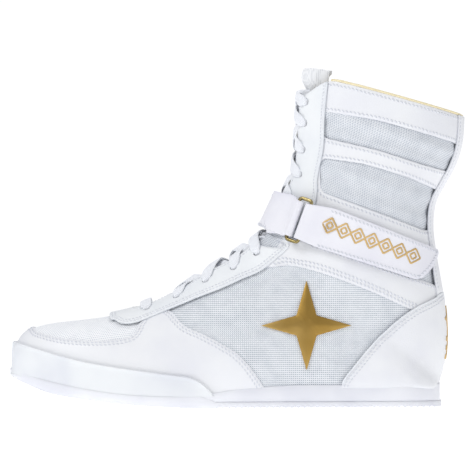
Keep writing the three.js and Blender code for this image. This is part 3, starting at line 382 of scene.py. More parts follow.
def inside(outline, points):
    """Which points are inside a closed outline: those with an odd number of edges to their right."""
    x, z = points[:, 0][:, None], points[:, 1][:, None]
    x0, z0 = outline[:, 0][None], outline[:, 1][None]
    x1, z1 = np.roll(outline[:, 0], -1)[None], np.roll(outline[:, 1], -1)[None]
    crosses = (z0 > z) != (z1 > z)
    at = x0 + (z - z0) * (x1 - x0) / np.where(z1 == z0, 1e-9, z1 - z0)
    return (crosses & (x < at)).sum(1) % 2 == 1


def height_of(line, x):
    """The height of a left-to-right line at x."""
    return np.interp(x, line[:, 0], line[:, 1])


def distance(points, line):
    """How far each point is from the nearest point of a line, by a search tree."""
    points, line = (np.pad(np.asarray(v, float), ((0, 0), (0, 3 - v.shape[1]))) for v in (points, line))
    tree = KDTree(len(line))
    for k, point in enumerate(line):
        tree.insert(point, k)
    tree.balance()
    return np.array([tree.find(point)[2] for point in points])


def side_view(places):
    """Side-view x and z of places on the last."""
    return last(places[:, 0], places[:, 1])[:, [0, 2]]


# %% The chart that panels are triangulated in
TRAVEL = np.concatenate([[0], np.cumsum(np.maximum(
    np.linalg.norm(np.diff(FINE_ROWS[:, 0:2], axis=0), axis=1),
    0.6 * np.linalg.norm(np.diff(FINE_ROWS[:, 2:4], axis=0), axis=1),
))])
ROUND_MM = 105.0  # roughly one side's length round a section
BOTTOM_ROUND = 0.03  # a foot panel's lowest round value, inside the sole
print("chart", TRAVEL[-1].round(), "by", ROUND_MM, "mm")


def chart(places):
    """Places as flat chart points, about a millimetre to a unit."""
    return np.column_stack([np.interp(places[:, 0], FINE, TRAVEL), places[:, 1] * ROUND_MM])


def unchart(flat):
    """Flat chart points as places again."""
    return np.column_stack([np.interp(flat[:, 0], TRAVEL, FINE), flat[:, 1] / ROUND_MM])


def seam(line, side=-1, wrap=None):
    """A side-view line as places on one side. On the medial side round counts on past the top line
    for wrap 'top', and is the lateral value with a minus sign for wrap 'heel'."""
    places = locate(line)
    if side > 0:
        places[:, 1] = 2 - places[:, 1] if wrap == "top" else -places[:, 1]
    return places


# %% Faces between seams
def triangulate(region, lines, keep, spacing=3.2, inset=(0.9, 2.2)):
    """Faces that fill the part of a chart region where keep is true. lines are runs of places that the
    faces may not cross; points a little inside them keep the faces beside an edge small."""
    (a0, a1), (r0, r1) = region
    low, high = np.interp([a0, a1], FINE, TRAVEL)
    grid_u = np.linspace(low, high, max(int((high - low) / spacing), 2) + 1)
    grid_v = np.linspace(r0, r1, max(int((r1 - r0) * ROUND_MM / spacing), 2) + 1) * ROUND_MM
    border = [np.column_stack([grid_u, np.full_like(grid_u, v)]) for v in (grid_v[0], grid_v[-1])]
    border += [np.column_stack([np.full_like(grid_v, u), grid_v]) for u in (grid_u[0], grid_u[-1])]
    if r0 < 0 < r1:
        border += [
            np.column_stack([grid_u, np.full_like(grid_u, s * BOTTOM_ROUND * ROUND_MM)]) for s in (-1, 1)
        ]
    edges = [chart(line) for line in lines] + border
    hard = np.vstack(edges)
    u, v = np.meshgrid(grid_u, grid_v, indexing="ij")
    u = u + (np.arange(len(grid_v)) % 2)[None] * 0.5 * (grid_u[1] - grid_u[0])
    loose = [np.column_stack([u.ravel(), v.ravel()])]
    for line in edges[: len(lines)]:
        way = unit(np.gradient(line, axis=0))
        for gap in inset:
            for sign in (-1, 1):
                points = line[::2] + sign * gap * np.column_stack([-way[::2, 1], way[::2, 0]])
                loose.append(points)
    loose = np.vstack(loose)
    if len(inset):
        far = distance(loose, hard) > 0.8 * min(inset)
        first = len(u.ravel())
        spread = distance(loose[:first], hard) > 0.6 * spacing
        far[:first] &= spread
        loose = loose[far]
    within = (loose[:, 0] > low) & (loose[:, 0] < high) & (loose[:, 1] > grid_v[0]) & (
        loose[:, 1] < grid_v[-1]
    )
    loose = loose[within]
    points, links, start = [loose], [], len(loose)
    for line in edges:
        points.append(line)
        links += [(start + k, start + k + 1) for k in range(len(line) - 1)]
        start += len(line)
    flat, _, faces, _, _, _ = delaunay_2d_cdt(
        [Vector(p) for p in np.vstack(points)], links, [], 0, 1e-4)
    flat = np.array([tuple(p) for p in flat])
    faces = np.array(faces)
    middle = unchart(flat[faces].mean(1))
    ok = keep(middle)
    ok &= (middle[:, 0] > HEEL + 0.2) | (np.abs(middle[:, 1]) > BOTTOM_ROUND)
    ok &= (middle[:, 0] >= a0) & (middle[:, 0] <= a1) & (middle[:, 1] >= r0) & (middle[:, 1] <= r1)
    faces = faces[ok]
    used, index = np.unique(faces, return_inverse=True)
    return unchart(flat[used]), index.reshape(faces.shape)


# %% From arrays to Blender objects
def build(name, points, faces, uv=None, layer=None, smooth=True):
    """A mesh object from millimetre points, with its corner UVs and a point value if they are given."""
    mesh = bpy.data.meshes.new(name)
    mesh.from_pydata((np.asarray(points) + SHIFT) * MM, [], [tuple(face) for face in faces])
    if uv is not None:
        corners = np.empty(len(mesh.loops), np.int32)
        mesh.loops.foreach_get("vertex_index", corners)
        mesh.uv_layers.new(name="uv").data.foreach_set("uv", np.asarray(uv, float)[corners].ravel())
    if layer is not None:
        mesh.attributes.new("edge", "FLOAT", "POINT").data.foreach_set("value", np.asarray(layer, np.float32))
    mesh.polygons.foreach_set("use_smooth", [smooth] * len(mesh.polygons))
    piece = bpy.data.objects.new(name, mesh)
    bpy.context.scene.collection.objects.link(piece)
    return piece


def tidy_mesh(piece, weld=0.05, turn=True):
    """Merge doubles, and turn the faces the same way, outwards, unless they already are."""
    mesh = bmesh.new()
    mesh.from_mesh(piece.data)
    bmesh.ops.remove_doubles(mesh, verts=mesh.verts, dist=weld * MM)
    bmesh.ops.dissolve_degenerate(mesh, dist=1e-6, edges=mesh.edges)
    if turn:
        bmesh.ops.recalc_face_normals(mesh, faces=mesh.faces)
    mesh.to_mesh(piece.data)
    mesh.free()


def thicken(piece, thickness, bevel=0.0, segments=2, offset=-1):
    """Give a skin its thickness, inwards at offset -1 and both ways at 0, and round its cut edges."""
    wall = piece.modifiers.new("thickness", "SOLIDIFY")
    wall.thickness, wall.offset = thickness * MM, offset
    if bevel:
        edge = piece.modifiers.new("edges", "BEVEL")
        edge.width, edge.segments = bevel * MM, segments
        edge.limit_method, edge.angle_limit = "ANGLE", 0.9
    return piece


def finish_piece(piece, body, slot, material, *nodes):
    """Set the material, the body that the piece rides on and the nodes that it stands for."""
    piece.data.materials.clear()
    piece.data.materials.append(material)
    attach(piece, body)
    if nodes:
        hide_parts(*nodes)
    print(piece.name, len(piece.data.vertices), "points")
    return piece


# %% A panel cut from the last
def panel(
    name, region, lines, keep, grow, uv,
    relief=None, spacing=3.2, edges=None, inset=(0.9, 2.2), weld=0.05,
):
    """A skin cut from the last, grown by grow. relief gives extra growth from the distance to the
    panel's edges, and edges are the lines that count as edges. It faces outwards: it is flipped when
    its faces' normals and the way that growth moves them are opposed on the whole."""
    places, faces = triangulate(region, lines, keep, spacing, inset)
    edge_lines = lines if edges is None else edges
    near = np.full(len(places), 99.0)
    if edge_lines:
        rim = np.vstack([last(line[:, 0], line[:, 1]) for line in edge_lines])
        near = distance(last(places[:, 0], places[:, 1]), rim)
    extra = relief(places, near) if relief else 0.0
    points = last(places[:, 0], places[:, 1], grow + extra)
    piece = build(name, points, faces, uv(points, places), near)
    face = faces[: len(faces) // 2]
    across = np.cross(points[face[:, 1]] - points[face[:, 0]], points[face[:, 2]] - points[face[:, 0]])
    along, round_ = places[face[:, 0]].T
    out = last(along, round_, grow + 1) - last(along, round_, grow)
    if (across * out).sum() < 0:
        piece.data.flip_normals()
    tidy_mesh(piece, weld, turn=False)
    return piece


def uv_side(points, places):
    """Side-view millimetres, for a panel on the boot's side."""
    return points[:, [0, 2]]


def uv_top(points, places):
    """Plan-view millimetres, for a panel on top of the foot."""
    return points[:, [0, 1]]


def uv_wrap(points, places):
    """Chart coordinates, for a panel that turns round the heel."""
    return chart(places)[:, ::-1]


def edge_press(depth=0.35, width=1.6):
    """A panel is thinner at its sewn edge: growth falls by depth towards the edge over width."""
    def relief(places, near):
        return -depth * np.clip(1 - near / width, 0, 1) ** 2
    return relief


print("edge press", edge_press()(None, np.array([0.0, 0.8, 1.6])).round(2), "mm at 0, 0.8 and 1.6 mm in")

# %% [markdown]
# ## Shader maths
# A material is a graph of nodes, and long formulas are hard to read as a graph. A small class wraps a
# socket, so that sums and products of patterns are written as ordinary expressions, and each operator
# adds the Math node that it stands for.

# %% Sockets as values
class Value:
    """A number that varies over a surface: a socket with arithmetic."""

    def __init__(self, tree, socket):
        self.tree, self.socket = tree, socket

    def math(self, operation, *others):
        """One Math node on this value and the others."""
        node = self.tree.nodes.new("ShaderNodeMath")
        node.operation = operation
        for slot_, value in zip(node.inputs, (self, *others)):
            plug(self.tree, slot_, value)
        return Value(self.tree, node.outputs[0])

    def __add__(self, other):
        return self.math("ADD", other)

    def __sub__(self, other):
        return self.math("SUBTRACT", other)

    def __mul__(self, other):
        return self.math("MULTIPLY", other)

    def __truediv__(self, other):
        return self.math("DIVIDE", other)

    def __rsub__(self, other):
        return (self * -1) + other

    __radd__, __rmul__ = __add__, __mul__

    def sine(self):
        return self.math("SINE")

    def wrapped(self):
        """The part after the decimal point."""
        return self.math("FRACT")

    def step(self, low, high):
        """0 below low and 1 above high, smooth between."""
        node = self.tree.nodes.new("ShaderNodeMapRange")
        node.interpolation_type = "SMOOTHSTEP"
        plug(self.tree, node.inputs["Value"], self)
        node.inputs["From Min"].default_value, node.inputs["From Max"].default_value = low, high
        return Value(self.tree, node.outputs["Result"])


def plug(tree, socket, value):
    """Link a value to a socket, or set it there."""
    if isinstance(value, Value):
        tree.links.new(value.socket, socket)
    else:
        socket.default_value = value


# %% A material in the making
class Finish:
    """A material in the making: its nodes, and its shader."""

    def __init__(self, name, rough=0.5, **constants):
        self.material = bpy.data.materials.new(name)
        self.material.use_nodes = True
        self.tree = self.material.node_tree
        self.shader = self.tree.nodes["Principled BSDF"]
        self.set(Roughness=rough, **constants)

    def set(self, **values):
        """Set or link the shader's sockets; an underscore in a name is a space."""
        for name, value in values.items():
            plug(self.tree, self.shader.inputs[name.replace("_", " ")], value)
        return self

    def node(self, kind, settings=(), out=0, **sockets):
        """A node of a kind, its settings first, then its sockets; returns one output."""
        node = self.tree.nodes.new("ShaderNode" + kind)
        for name, value in dict(settings).items():
            setattr(node, name, value)
        for name, value in sockets.items():
            plug(self.tree, node.inputs[name.replace("_", " ")], value)
        return Value(self.tree, node.outputs[out])

    def place(self):
        """Object coordinates."""
        return self.node("TexCoord", out="Object")

    def axes(self, uv=False):
        """x, y and z in millimetres on the object, or u and v in millimetres on the piece's UV map."""
        vector = self.node("UVMap", {"uv_map": "uv"}) if uv else self.place()
        split = self.tree.nodes.new("ShaderNodeSeparateXYZ")
        self.tree.links.new(vector.socket, split.inputs[0])
        scale = 1.0 if uv else 1 / MM
        return [Value(self.tree, split.outputs[k]) * scale for k in range(2 if uv else 3)]

    def noise(self, size, detail=3.0, rough=0.5, distortion=0.0):
        """Noise with blotches about size millimetres across."""
        return self.node("TexNoise", Vector=self.place(), Scale=1 / (size * MM), Detail=detail,
                         Roughness=rough, Distortion=distortion)

    def cells(self, size, feature="F1", out=0):
        """Distance patterns of cells about size millimetres across."""
        return self.node(
            "TexVoronoi", {"feature": feature}, out=out, Vector=self.place(), Scale=1 / (size * MM)
        )

    def edge(self):
        """Millimetres from the panel's edge."""
        return self.node("Attribute", {"attribute_name": "edge"}, out="Fac")

    def mix(self, share, low, high):
        """A colour between two, each a colour value or three numbers."""
        node = self.tree.nodes.new("ShaderNodeMix")
        node.data_type = "RGBA"
        plug(self.tree, node.inputs[0], share)
        for k, value in ((6, low), (7, high)):
            plug(self.tree, node.inputs[k], value if isinstance(value, Value) else (*value, 1))
        return Value(self.tree, node.outputs[2])

    def bump(self, height, distance, strength=1.0):
        """Link a height, in units of distance millimetres, to the shader's normal."""
        normal = self.node("Bump", Height=height, Distance=distance * MM, Strength=strength)
        return self.set(Normal=normal)


# %% [markdown]
# ## Finishes
# The white leather is a coated split with a fine pebble grain, a soft sheen and a few creases. The
# cloths are knitted meshes: what the eye sees is rows of small openings, dark with painted shade,
# between white yarns, so their colour is a product of waves across the cloth. The gold parts are a foil
# with painted reflection: bright and deep bands across it.

# %% Leather
WHITE = (0.80, 0.81, 0.835)


def leather(name, tone=WHITE, shade=(0.71, 0.72, 0.78), grain=0.9):
    """Coated split: cells of the grain's size for pebbles, fine noise between them, and a broad noise
    that both lifts the surface and turns the tone at random to its shade; painted shade darkens a panel's
    last 1.4 mm."""
    f = Finish(name, Specular_IOR_Level=0.42)
    pebbles = f.cells(grain, "SMOOTH_F1")
    fine = f.noise(0.35, 2)
    broad = f.noise(26, 2)
    # painted shade: within 1.4 mm of a panel's edge the tone turns to the shade colour
    f.set(Base_Color=f.mix(broad.step(0.35, 0.75) * 0.45 + f.edge().step(1.4, 0.0) * 0.35, tone, shade))
    f.set(Roughness=0.4 + 0.12 * broad + 0.05 * fine)
    f.set(Coat_Weight=0.06)
    f.bump(pebbles * 0.8 + fine * 0.35 + broad * 1.4, 0.09)
    return f.material


LEATHER = leather("white_leather")
STRAP_LEATHER = leather("strap_leather", (0.80, 0.80, 0.85), (0.69, 0.69, 0.78), 0.8)
STAY_LEATHER = leather("stay_leather", (0.80, 0.82, 0.84), (0.71, 0.74, 0.79), 0.7)


# %% Knitted meshes
def knit(name, pitch, yarn, hole, depth=0.12, lean=0.55, contrast=0.8):
    """Herringbone knit: rows of slanted stitches that lean one way in one column and the other way in
    the next, u and v in millimetres on the piece's own UV map."""
    f = Finish(name, 0.82, Specular_IOR_Level=0.2)
    u, v = f.axes(uv=True)
    column = (u / pitch).wrapped() * 2 - 1
    slant = column.math("ABSOLUTE") * lean
    rows = (v / pitch + slant).wrapped()
    ridge = ((rows * math.tau).sine() * 0.5 + 0.5)
    gap = 1 - column.math("ABSOLUTE")
    gap = gap.step(0.0, 0.45)
    open_ = (1 - ridge).step(0.45, 0.95) * gap
    shade = f.noise(9, 2)
    # painted shade: the openings take the dark hole colour, for the shade seen through them
    f.set(Base_Color=f.mix(open_ * contrast + shade.step(0.3, 0.8) * 0.12, yarn, hole))
    f.bump(ridge * gap + f.noise(0.3, 1) * 0.3, depth)
    return f.material


# the hole colours below are painted shade in the knits' openings
KNIT = knit("quarter_knit", 1.35, (0.88, 0.90, 0.93), (0.22, 0.27, 0.34), 0.16, 0.6, 0.9)
WINDOW_KNIT = knit("window_knit", 1.05, (0.82, 0.84, 0.87), (0.24, 0.29, 0.37), 0.14, 0.5, 0.85)


def perforated(name, pitch, yarn, hole):
    """Cloth with round openings on a staggered grid: bright between the holes, and dark inside them with
    painted shade.
    """
    f = Finish(name, 0.85, Specular_IOR_Level=0.2)
    u, v = f.axes(uv=True)
    row = (v / pitch).math("FLOOR")
    across = (u / pitch + (row * 0.5).wrapped()).wrapped() - 0.5
    up = (v / pitch).wrapped() - 0.5
    far = (across * across + up * up).math("SQRT")
    hole_mask = far.step(0.34, 0.2)
    # painted shade: inside each round opening the colour turns to the dark hole colour
    f.set(Base_Color=f.mix(hole_mask * 0.85 + f.noise(12, 2).step(0.3, 0.8) * 0.1, yarn, hole))
    f.bump(far.step(0.1, 0.45) + f.noise(0.3, 1) * 0.25, 0.15)
    return f.material


VAMP_KNIT = perforated("vamp_mesh", 1.25, (0.92, 0.93, 0.95), (0.56, 0.60, 0.67))
TONGUE_KNIT = perforated("tongue_mesh", 1.3, (0.82, 0.83, 0.85), (0.66, 0.68, 0.71))


# %% Rubber, foam, board and linings
def rubber(name, tone, shade, sparkle=0.03):
    """Matt moulded rubber: a broad noise between two tones, and specks sparkle millimetres high."""
    f = Finish(name, Specular_IOR_Level=0.4)
    speck = f.noise(0.5, 2)
    broad = f.noise(30, 2)
    f.set(Base_Color=f.mix(broad.step(0.3, 0.8), tone, shade), Roughness=0.5 + 0.12 * broad)
    f.bump(speck, sparkle)
    return f.material


SOLE_RUBBER = rubber("sole_rubber", (0.80, 0.81, 0.85), (0.71, 0.72, 0.78))
RAND_RUBBER = rubber("rand_rubber", (0.77, 0.79, 0.81), (0.68, 0.70, 0.75), 0.05)


def cloth(name, yarn, gap, pitch=0.5, rough=0.8, depth=0.08, **constants):
    """Plain weave on object coordinates in the side view: two crossed sets of threads."""
    f = Finish(name, rough, **constants)
    x, y, z = f.axes()
    warp = (x * (math.tau / pitch)).sine()
    weft = (z * (math.tau / pitch)).sine()
    weave = warp * weft * 0.5 + 0.5
    f.set(Base_Color=f.mix(weave.step(0.2, 0.9) + f.noise(8, 2) * 0.2, gap, yarn))
    f.bump(weave + f.noise(0.3, 1) * 0.3, depth)
    return f.material


GOLD_CLOTH = cloth("gold_lining", (0.80, 0.70, 0.46), (0.66, 0.54, 0.30), 0.55, 0.6, Sheen_Weight=0.2)
FOAM = cloth("padding_cloth", (0.86, 0.86, 0.88), (0.70, 0.70, 0.74), 0.7)
BOARD = cloth("fibre_board", (0.66, 0.62, 0.52), (0.56, 0.51, 0.42), 1.4)
LOOP = cloth("loop_tape", (0.82, 0.83, 0.86), (0.66, 0.67, 0.72), 0.9, 0.95, 0.2)
HOOK = cloth("hook_tape", (0.78, 0.79, 0.83), (0.60, 0.62, 0.68), 1.2, 0.5, 0.25)


# %% Lace, thread, foil and metal
def lace_weave():
    """Tubular braid: chevrons across the lace, from u along it and v across it in millimetres."""
    f = Finish("lace_weave", 0.8, Specular_IOR_Level=0.25)
    u, v = f.axes(uv=True)
    chevron = ((u + v.math("ABSOLUTE") * 0.8) * (math.tau / 1.15)).sine()
    ribs = (v * (math.tau / 0.9)).sine()
    height = chevron * 0.35 + ribs * 0.25 + 0.5
    f.set(Base_Color=f.mix(height.step(0.2, 0.75), (0.72, 0.75, 0.82), (0.90, 0.91, 0.93)))
    f.bump(height, 0.16)
    return f.material


def thread(name, tone, dark, rough=0.55):
    """Twisted thread, too thin to show its twist: a noise between two tones."""
    f = Finish(name, rough, Specular_IOR_Level=0.4)
    f.set(Base_Color=f.mix(f.noise(0.6, 1), tone, dark))
    f.bump(f.noise(0.25, 1), 0.05)
    return f.material


def foil(name, bright, deep, metallic=0.85, rough=0.34):
    """Gold transfer film over knitted cloth, with a faint weave; its bright and deep bands are painted
    reflection, where the light would catch it.
    """
    f = Finish(name, Metallic=metallic)
    x, y, z = f.axes()
    # painted reflection: a wave of position and noise turns the gold between its deep and bright tones
    sweep = ((x * 0.045 + z * 0.03) + f.noise(14, 2) * 1.2).sine() * 0.5 + 0.5
    f.set(Base_Color=f.mix(sweep, deep, bright), Roughness=rough + 0.12 * f.noise(5, 2))
    f.bump(f.noise(0.5, 2), 0.05)
    return f.material


LACE = lace_weave()
# partly painted shade: the thread is darker than the leather, standing for the shade in its stitch holes
THREAD = thread("white_thread", (0.72, 0.74, 0.79), (0.58, 0.60, 0.66))
FOIL = foil("gold_foil", (0.80, 0.55, 0.20), (0.36, 0.22, 0.05))
EMBROIDERY = foil("gold_embroidery", (0.66, 0.46, 0.20), (0.36, 0.23, 0.08), 0.55, 0.42)
RING_METAL = foil("gold_plate", (0.42, 0.34, 0.16), (0.24, 0.19, 0.08), 1.0, 0.18)
PIPING = cloth("gold_piping", (0.90, 0.82, 0.58), (0.78, 0.66, 0.38), 0.5, 0.55)
print("materials", len(bpy.data.materials))

# %% [markdown]
# ## Soles
# The outsole is one moulded wedge: thin at the toe, where it springs up from the floor, and thick
# under the heel, where it is cut into a saw edge for grip. It is a stack of rings that all follow the
# sole's outline; the saw is a triangle wave in the height of the lowest ring.

# %% Outsole and midsole
TOOTH_PITCH, TOOTH_DEPTH, TOOTH_SHARE = 4.2, 2.2, 0.8
TREAD_START, TREAD_END = -14.0, 131.8


SPRING_START, SPRING_RUN = -14.0, 11.0  # in front of this x the wall rises to the seat, over this run
WALL = 4.1  # the outsole's wall above the tread, behind the spring


def outsole_top(x, rows):
    """The tread's height plus the wall, which grows into the whole height of the sole at the toe."""
    rise = np.clip((SPRING_START - x) / SPRING_RUN, 0, 1)
    return rows[:, 2] + WALL + (rows[:, 3] - rows[:, 2] - WALL) * rise


def sole_block(name, start, end, low, high, profile, step=0.42, saw=False):
    """A block between two heights. profile is rows of (share of height, inset in mm), from the middle of
    the underside round the edge to the middle of the top. Across the width each ring has both sides.
    The saw lifts the lowest rings by a triangle wave of x, flat between its teeth."""
    x = np.append(np.arange(start, end, step), end)
    rows = sole_at(x)
    half, centre = rows[:, 0], rows[:, 1]
    bottom, top = low(x, rows), high(x, rows)
    rings = []
    for share, inset in profile:
        reach = np.maximum(half - inset, 0)
        z = bottom + share * (top - bottom)
        if saw and share <= 0:
            phase = np.mod((x - TREAD_START) / TOOTH_PITCH, 1)
            tooth = np.where((x > TREAD_START) & (x < TREAD_END), 1 - np.abs(2 * phase - 1) / TOOTH_SHARE, 0)
            z = z + TOOTH_DEPTH * np.clip(tooth, 0, 1)
        rings.append((reach, z))
    section = [(s * reach, z) for s, order in ((-1, rings), (1, rings[::-1])) for reach, z in order]
    y = np.stack([centre + offset for offset, _ in section], 1)
    z = np.stack([height for _, height in section], 1)
    points = np.stack([np.repeat(x[:, None], y.shape[1], 1), y, z], -1)
    return build(name, points.reshape(-1, 3), loft(*y.shape))


def loft(rows, columns, closed=True, capped=True):
    """Quads between neighbouring rows of points, with a face on each end."""
    i, j = np.meshgrid(np.arange(rows - 1), np.arange(columns if closed else columns - 1), indexing="ij")
    k = (j + 1) % columns
    quads = np.stack([i * columns + j, i * columns + k, (i + 1) * columns + k, (i + 1) * columns + j], -1)
    faces = [tuple(face) for face in quads.reshape(-1, 4)]
    if capped:
        faces.append(tuple(range(columns))[::-1])
        faces.append(tuple((rows - 1) * columns + np.arange(columns)))
    return faces


# %% Making both soles
edge_profile = [
    (0, 30), (0, 12), (0, 2.2), (0.0, 0.7), (0.22, 0.15), (0.5, 0.0), (0.8, 0.1), (1.0, 0.7), (1.0, 4),
    (1.0, 30)
]
outsole = sole_block(
    "outsole_moulding", -154, 137.8, lambda x, rows: rows[:, 2], outsole_top, edge_profile, saw=True)
tidy_mesh(outsole, 0.02)
finish_piece(outsole, "boot", "rubber", SOLE_RUBBER, "outsole")
mid_profile = [
    (0, 30), (0, 2.6), (0.02, 1.3), (0.12, 0.75), (0.5, 0.55), (0.9, 0.7), (1.0, 1.3), (1.0, 4), (1.0, 30)
]
midsole = sole_block(
    "midsole_wedge", -23, 136.3,
    lambda x, rows: rows[:, 2] + 3.9,
    lambda x, rows: np.maximum(rows[:, 3], rows[:, 2] + 4.2),
    mid_profile, step=1.5)
tidy_mesh(midsole, 0.02)
finish_piece(midsole, "boot", "rubber", SOLE_RUBBER, "midsole")

# %% [markdown]
# ## The upper
# From inside out: linings and padding, mesh, leather panels over the mesh, then the stays, the foxing
# and the backstay on top. Each is cut from the last at its own growth, a little more than the one it
# covers, so the order of the real boot is the order of the surfaces.

# %% Lines on both sides
collar = smooth_line(COLLAR)
collar_edge = collar - [0, 1.2]
liner_seam = smooth_line(LINER_SEAM)
vamp_seam = smooth_line(VAMP_SEAM)
rand_top = smooth_line(RAND_TOP)
mudguard_edge = smooth_line(MUDGUARD)
ankle_top, ankle_low = smooth_line(ANKLE_TOP), smooth_line(ANKLE_LOW)
frame_low = smooth_line(FRAME_LOW)
upper_window, lower_window = rounded(UPPER_WINDOW, 5.5), rounded(LOWER_WINDOW, 5.5)
stay_top = smooth_line(STAY_TOP)
foxing = smooth_line(FOXING)
backstay = smooth_line(BACKSTAY)
stay_low = smooth_line(STAY_LOW)
FAR = 400.0  # past the whole boot
THROAT_BACK = 66.0  # the slot is only in front of this x
SIDES = ("lateral", "medial")

# %% How far out each layer lies, and how thick it is
LINING_GROW, HIDDEN_GROW, MESH_GROW, PANEL_GROW, STAY_GROW = -3.7, -2.6, -1.3, 0.0, 1.3
LINING_THICK, HIDDEN_THICK, MESH_THICK, LEATHER_THICK = 0.8, 0.8, 1.0, 1.0
CUT_EDGE = 0.3  # the rounding of a cut edge
STAY_REACH = 21.5  # the mesh, the bands and the frames end this far from the throat's middle
print("layers from", LINING_GROW, "to", STAY_GROW, "mm")


# %% Areas above and below a line
def over(line):
    """The area above a left-to-right line."""
    return np.vstack([line, [line[-1, 0], FAR], [line[0, 0], FAR]])


def under(line):
    """The area below a left-to-right line."""
    return np.vstack([line, [line[-1, 0], -FAR], [line[0, 0], -FAR]])


# %% The throat: the slot between the lace stays
def throat_reach(places):
    """How far a place is from the throat's middle line, in the plan view. Round the throat's front end
    the distance is from the end's centre."""
    p = last(places[:, 0], places[:, 1])
    middle = np.interp(p[:, 0], THROAT_CENTRES[:, 0], THROAT_CENTRES[:, 1])
    ahead = np.minimum(p[:, 0] - THROAT_FRONT, 0)
    return np.where(p[:, 0] > THROAT_BACK, 99.0, np.hypot(p[:, 1] - middle, ahead))


@functools.lru_cache(maxsize=None)
def throat_line(reach, sides=(-1, 1), low=8.2, high=26):
    """The places at a distance from the throat's middle line, from the front end up the shaft: on each
    section the round value at which the last is that far to the side."""
    along = np.arange(low, high, 0.02)
    runs = []
    r = np.linspace(0.4, 1, 241)
    a, rr = np.meshgrid(along, r, indexing="ij")
    grid = np.stack([a.ravel(), rr.ravel()], -1)
    far = throat_reach(grid).reshape(a.shape)
    hit = (far > reach).argmin(1)
    hit[(far > reach).all(1)] = len(r) - 1
    for side in sides:
        round_ = r[np.maximum(hit, 1)]
        before = far[np.arange(len(along)), np.maximum(hit - 1, 0)]
        after = far[np.arange(len(along)), np.maximum(hit, 1)]
        share = np.clip((reach - before) / np.where(after == before, 1e-6, after - before), 0, 1)
        round_ = round_ - (1 - share) * (r[1] - r[0])
        open_here = far[:, -1] < reach
        runs.append(np.column_stack([along, np.where(side < 0, round_, 2 - round_)])[open_here])
    return runs


for reach in (THROAT_HALF, STAY_REACH):
    print("throat line", reach, [len(run) for run in throat_line(reach)])


def closed_throat(reach):
    """The whole edge round the throat as one run: up one side from the front end, and the other."""
    lateral, medial = throat_line(reach)
    return np.vstack([lateral[::-1], medial])


# %% Panels on one side
WHOLE = (0, LAST_STATION)
throat_edge = closed_throat(THROAT_HALF)


def half_panel(
    name, side, areas, lines, grow, uv=uv_side,
    holes=(), open_to=THROAT_HALF, relief=None, spacing=3.2, extra=(), edges=None,
):
    """A panel on one side: inside every area, outside every hole, clear of the throat. The lines are
    side-view lines, and extra holds further rules on a face's middle."""
    sign = -1 if side == "lateral" else 1
    runs = [seam(line, sign, "top") for line in lines]
    if open_to:
        runs.append(throat_line(open_to)[0 if sign < 0 else 1])
    rounds = (0.0, 1.0) if sign < 0 else (1.0, 2.0)
    counted = runs if edges is None else [runs[k] for k in edges]

    def keep(middle):
        seen = side_view(middle)
        ok = np.ones(len(middle), bool)
        for area in areas:
            ok &= inside(area, seen)
        for hole in holes:
            ok &= ~inside(hole, seen)
        if open_to:
            ok &= throat_reach(middle) > open_to
        for rule in extra:
            ok &= rule(middle, seen)
        return ok

    return panel(name, (WHOLE, rounds), runs, keep, grow, uv, relief, spacing, counted)


# %% Areas of the mesh, and the shaft's pattern and quilting
quarter_area = np.vstack([vamp_seam + [0.3, 0], [[200, 0]], liner_seam[::-1] - [0, 0.3]])
shaft_area = over(liner_seam)
under_collar = under(collar_edge)
toe_area = np.vstack([[[-190, 0]], vamp_seam[::-1], [[-190, 110]]])


def shaft_uv(points, places):
    """u runs round the shaft by arc length, and v up it."""
    return np.column_stack([places[:, 1] * ROUND_MM, points[:, 2] * 0.94 + points[:, 0] * 0.34])


def window_ridges(places, near):
    """Two soft quilted ridges that run along the windows, as a sum of round humps across height."""
    p = last(places[:, 0], places[:, 1])
    level = p[:, 2] + 0.3 * p[:, 0]
    humps = ((163.5, 4.0, 1.3), (178, 5.0, 1.9), (203, 3.6, 0.9), (214, 4.6, 2.0))
    return sum(high * np.exp(-(((level - at) / wide) ** 2)) for at, wide, high in humps) - 0.7


# %% Mesh panels and linings
quarter_lines = [vamp_seam + [0.3, 0], liner_seam - [0, 0.3]]
shaft_areas, shaft_lines = [shaft_area, under_collar], [liner_seam, collar_edge]
for side in SIDES:
    quarter = half_panel(
        f"quarter_{side}", side, [quarter_area], quarter_lines, MESH_GROW, open_to=STAY_REACH
    )
    finish_piece(thicken(quarter, MESH_THICK), "boot", "mesh", KNIT, f"quarter_mesh_{side}")
    shaft = half_panel(
        f"shaft_{side}", side, shaft_areas, shaft_lines, MESH_GROW, shaft_uv,
        open_to=STAY_REACH, relief=window_ridges, spacing=2.2)
    finish_piece(thicken(shaft, MESH_THICK), "boot", "mesh", WINDOW_KNIT, f"shaft_mesh_{side}")
    lining = half_panel(
        f"quarter_lining_{side}_cloth", side, [quarter_area], quarter_lines, LINING_GROW, spacing=5)
    finish_piece(thicken(lining, LINING_THICK), "boot", "mesh", TONGUE_KNIT, f"quarter_lining_{side}")
    lining = half_panel(f"shaft_lining_{side}_cloth", side, shaft_areas, shaft_lines, LINING_GROW, spacing=4)
    finish_piece(thicken(lining, LINING_THICK), "boot", "gold_cloth", GOLD_CLOTH, f"shaft_lining_{side}")

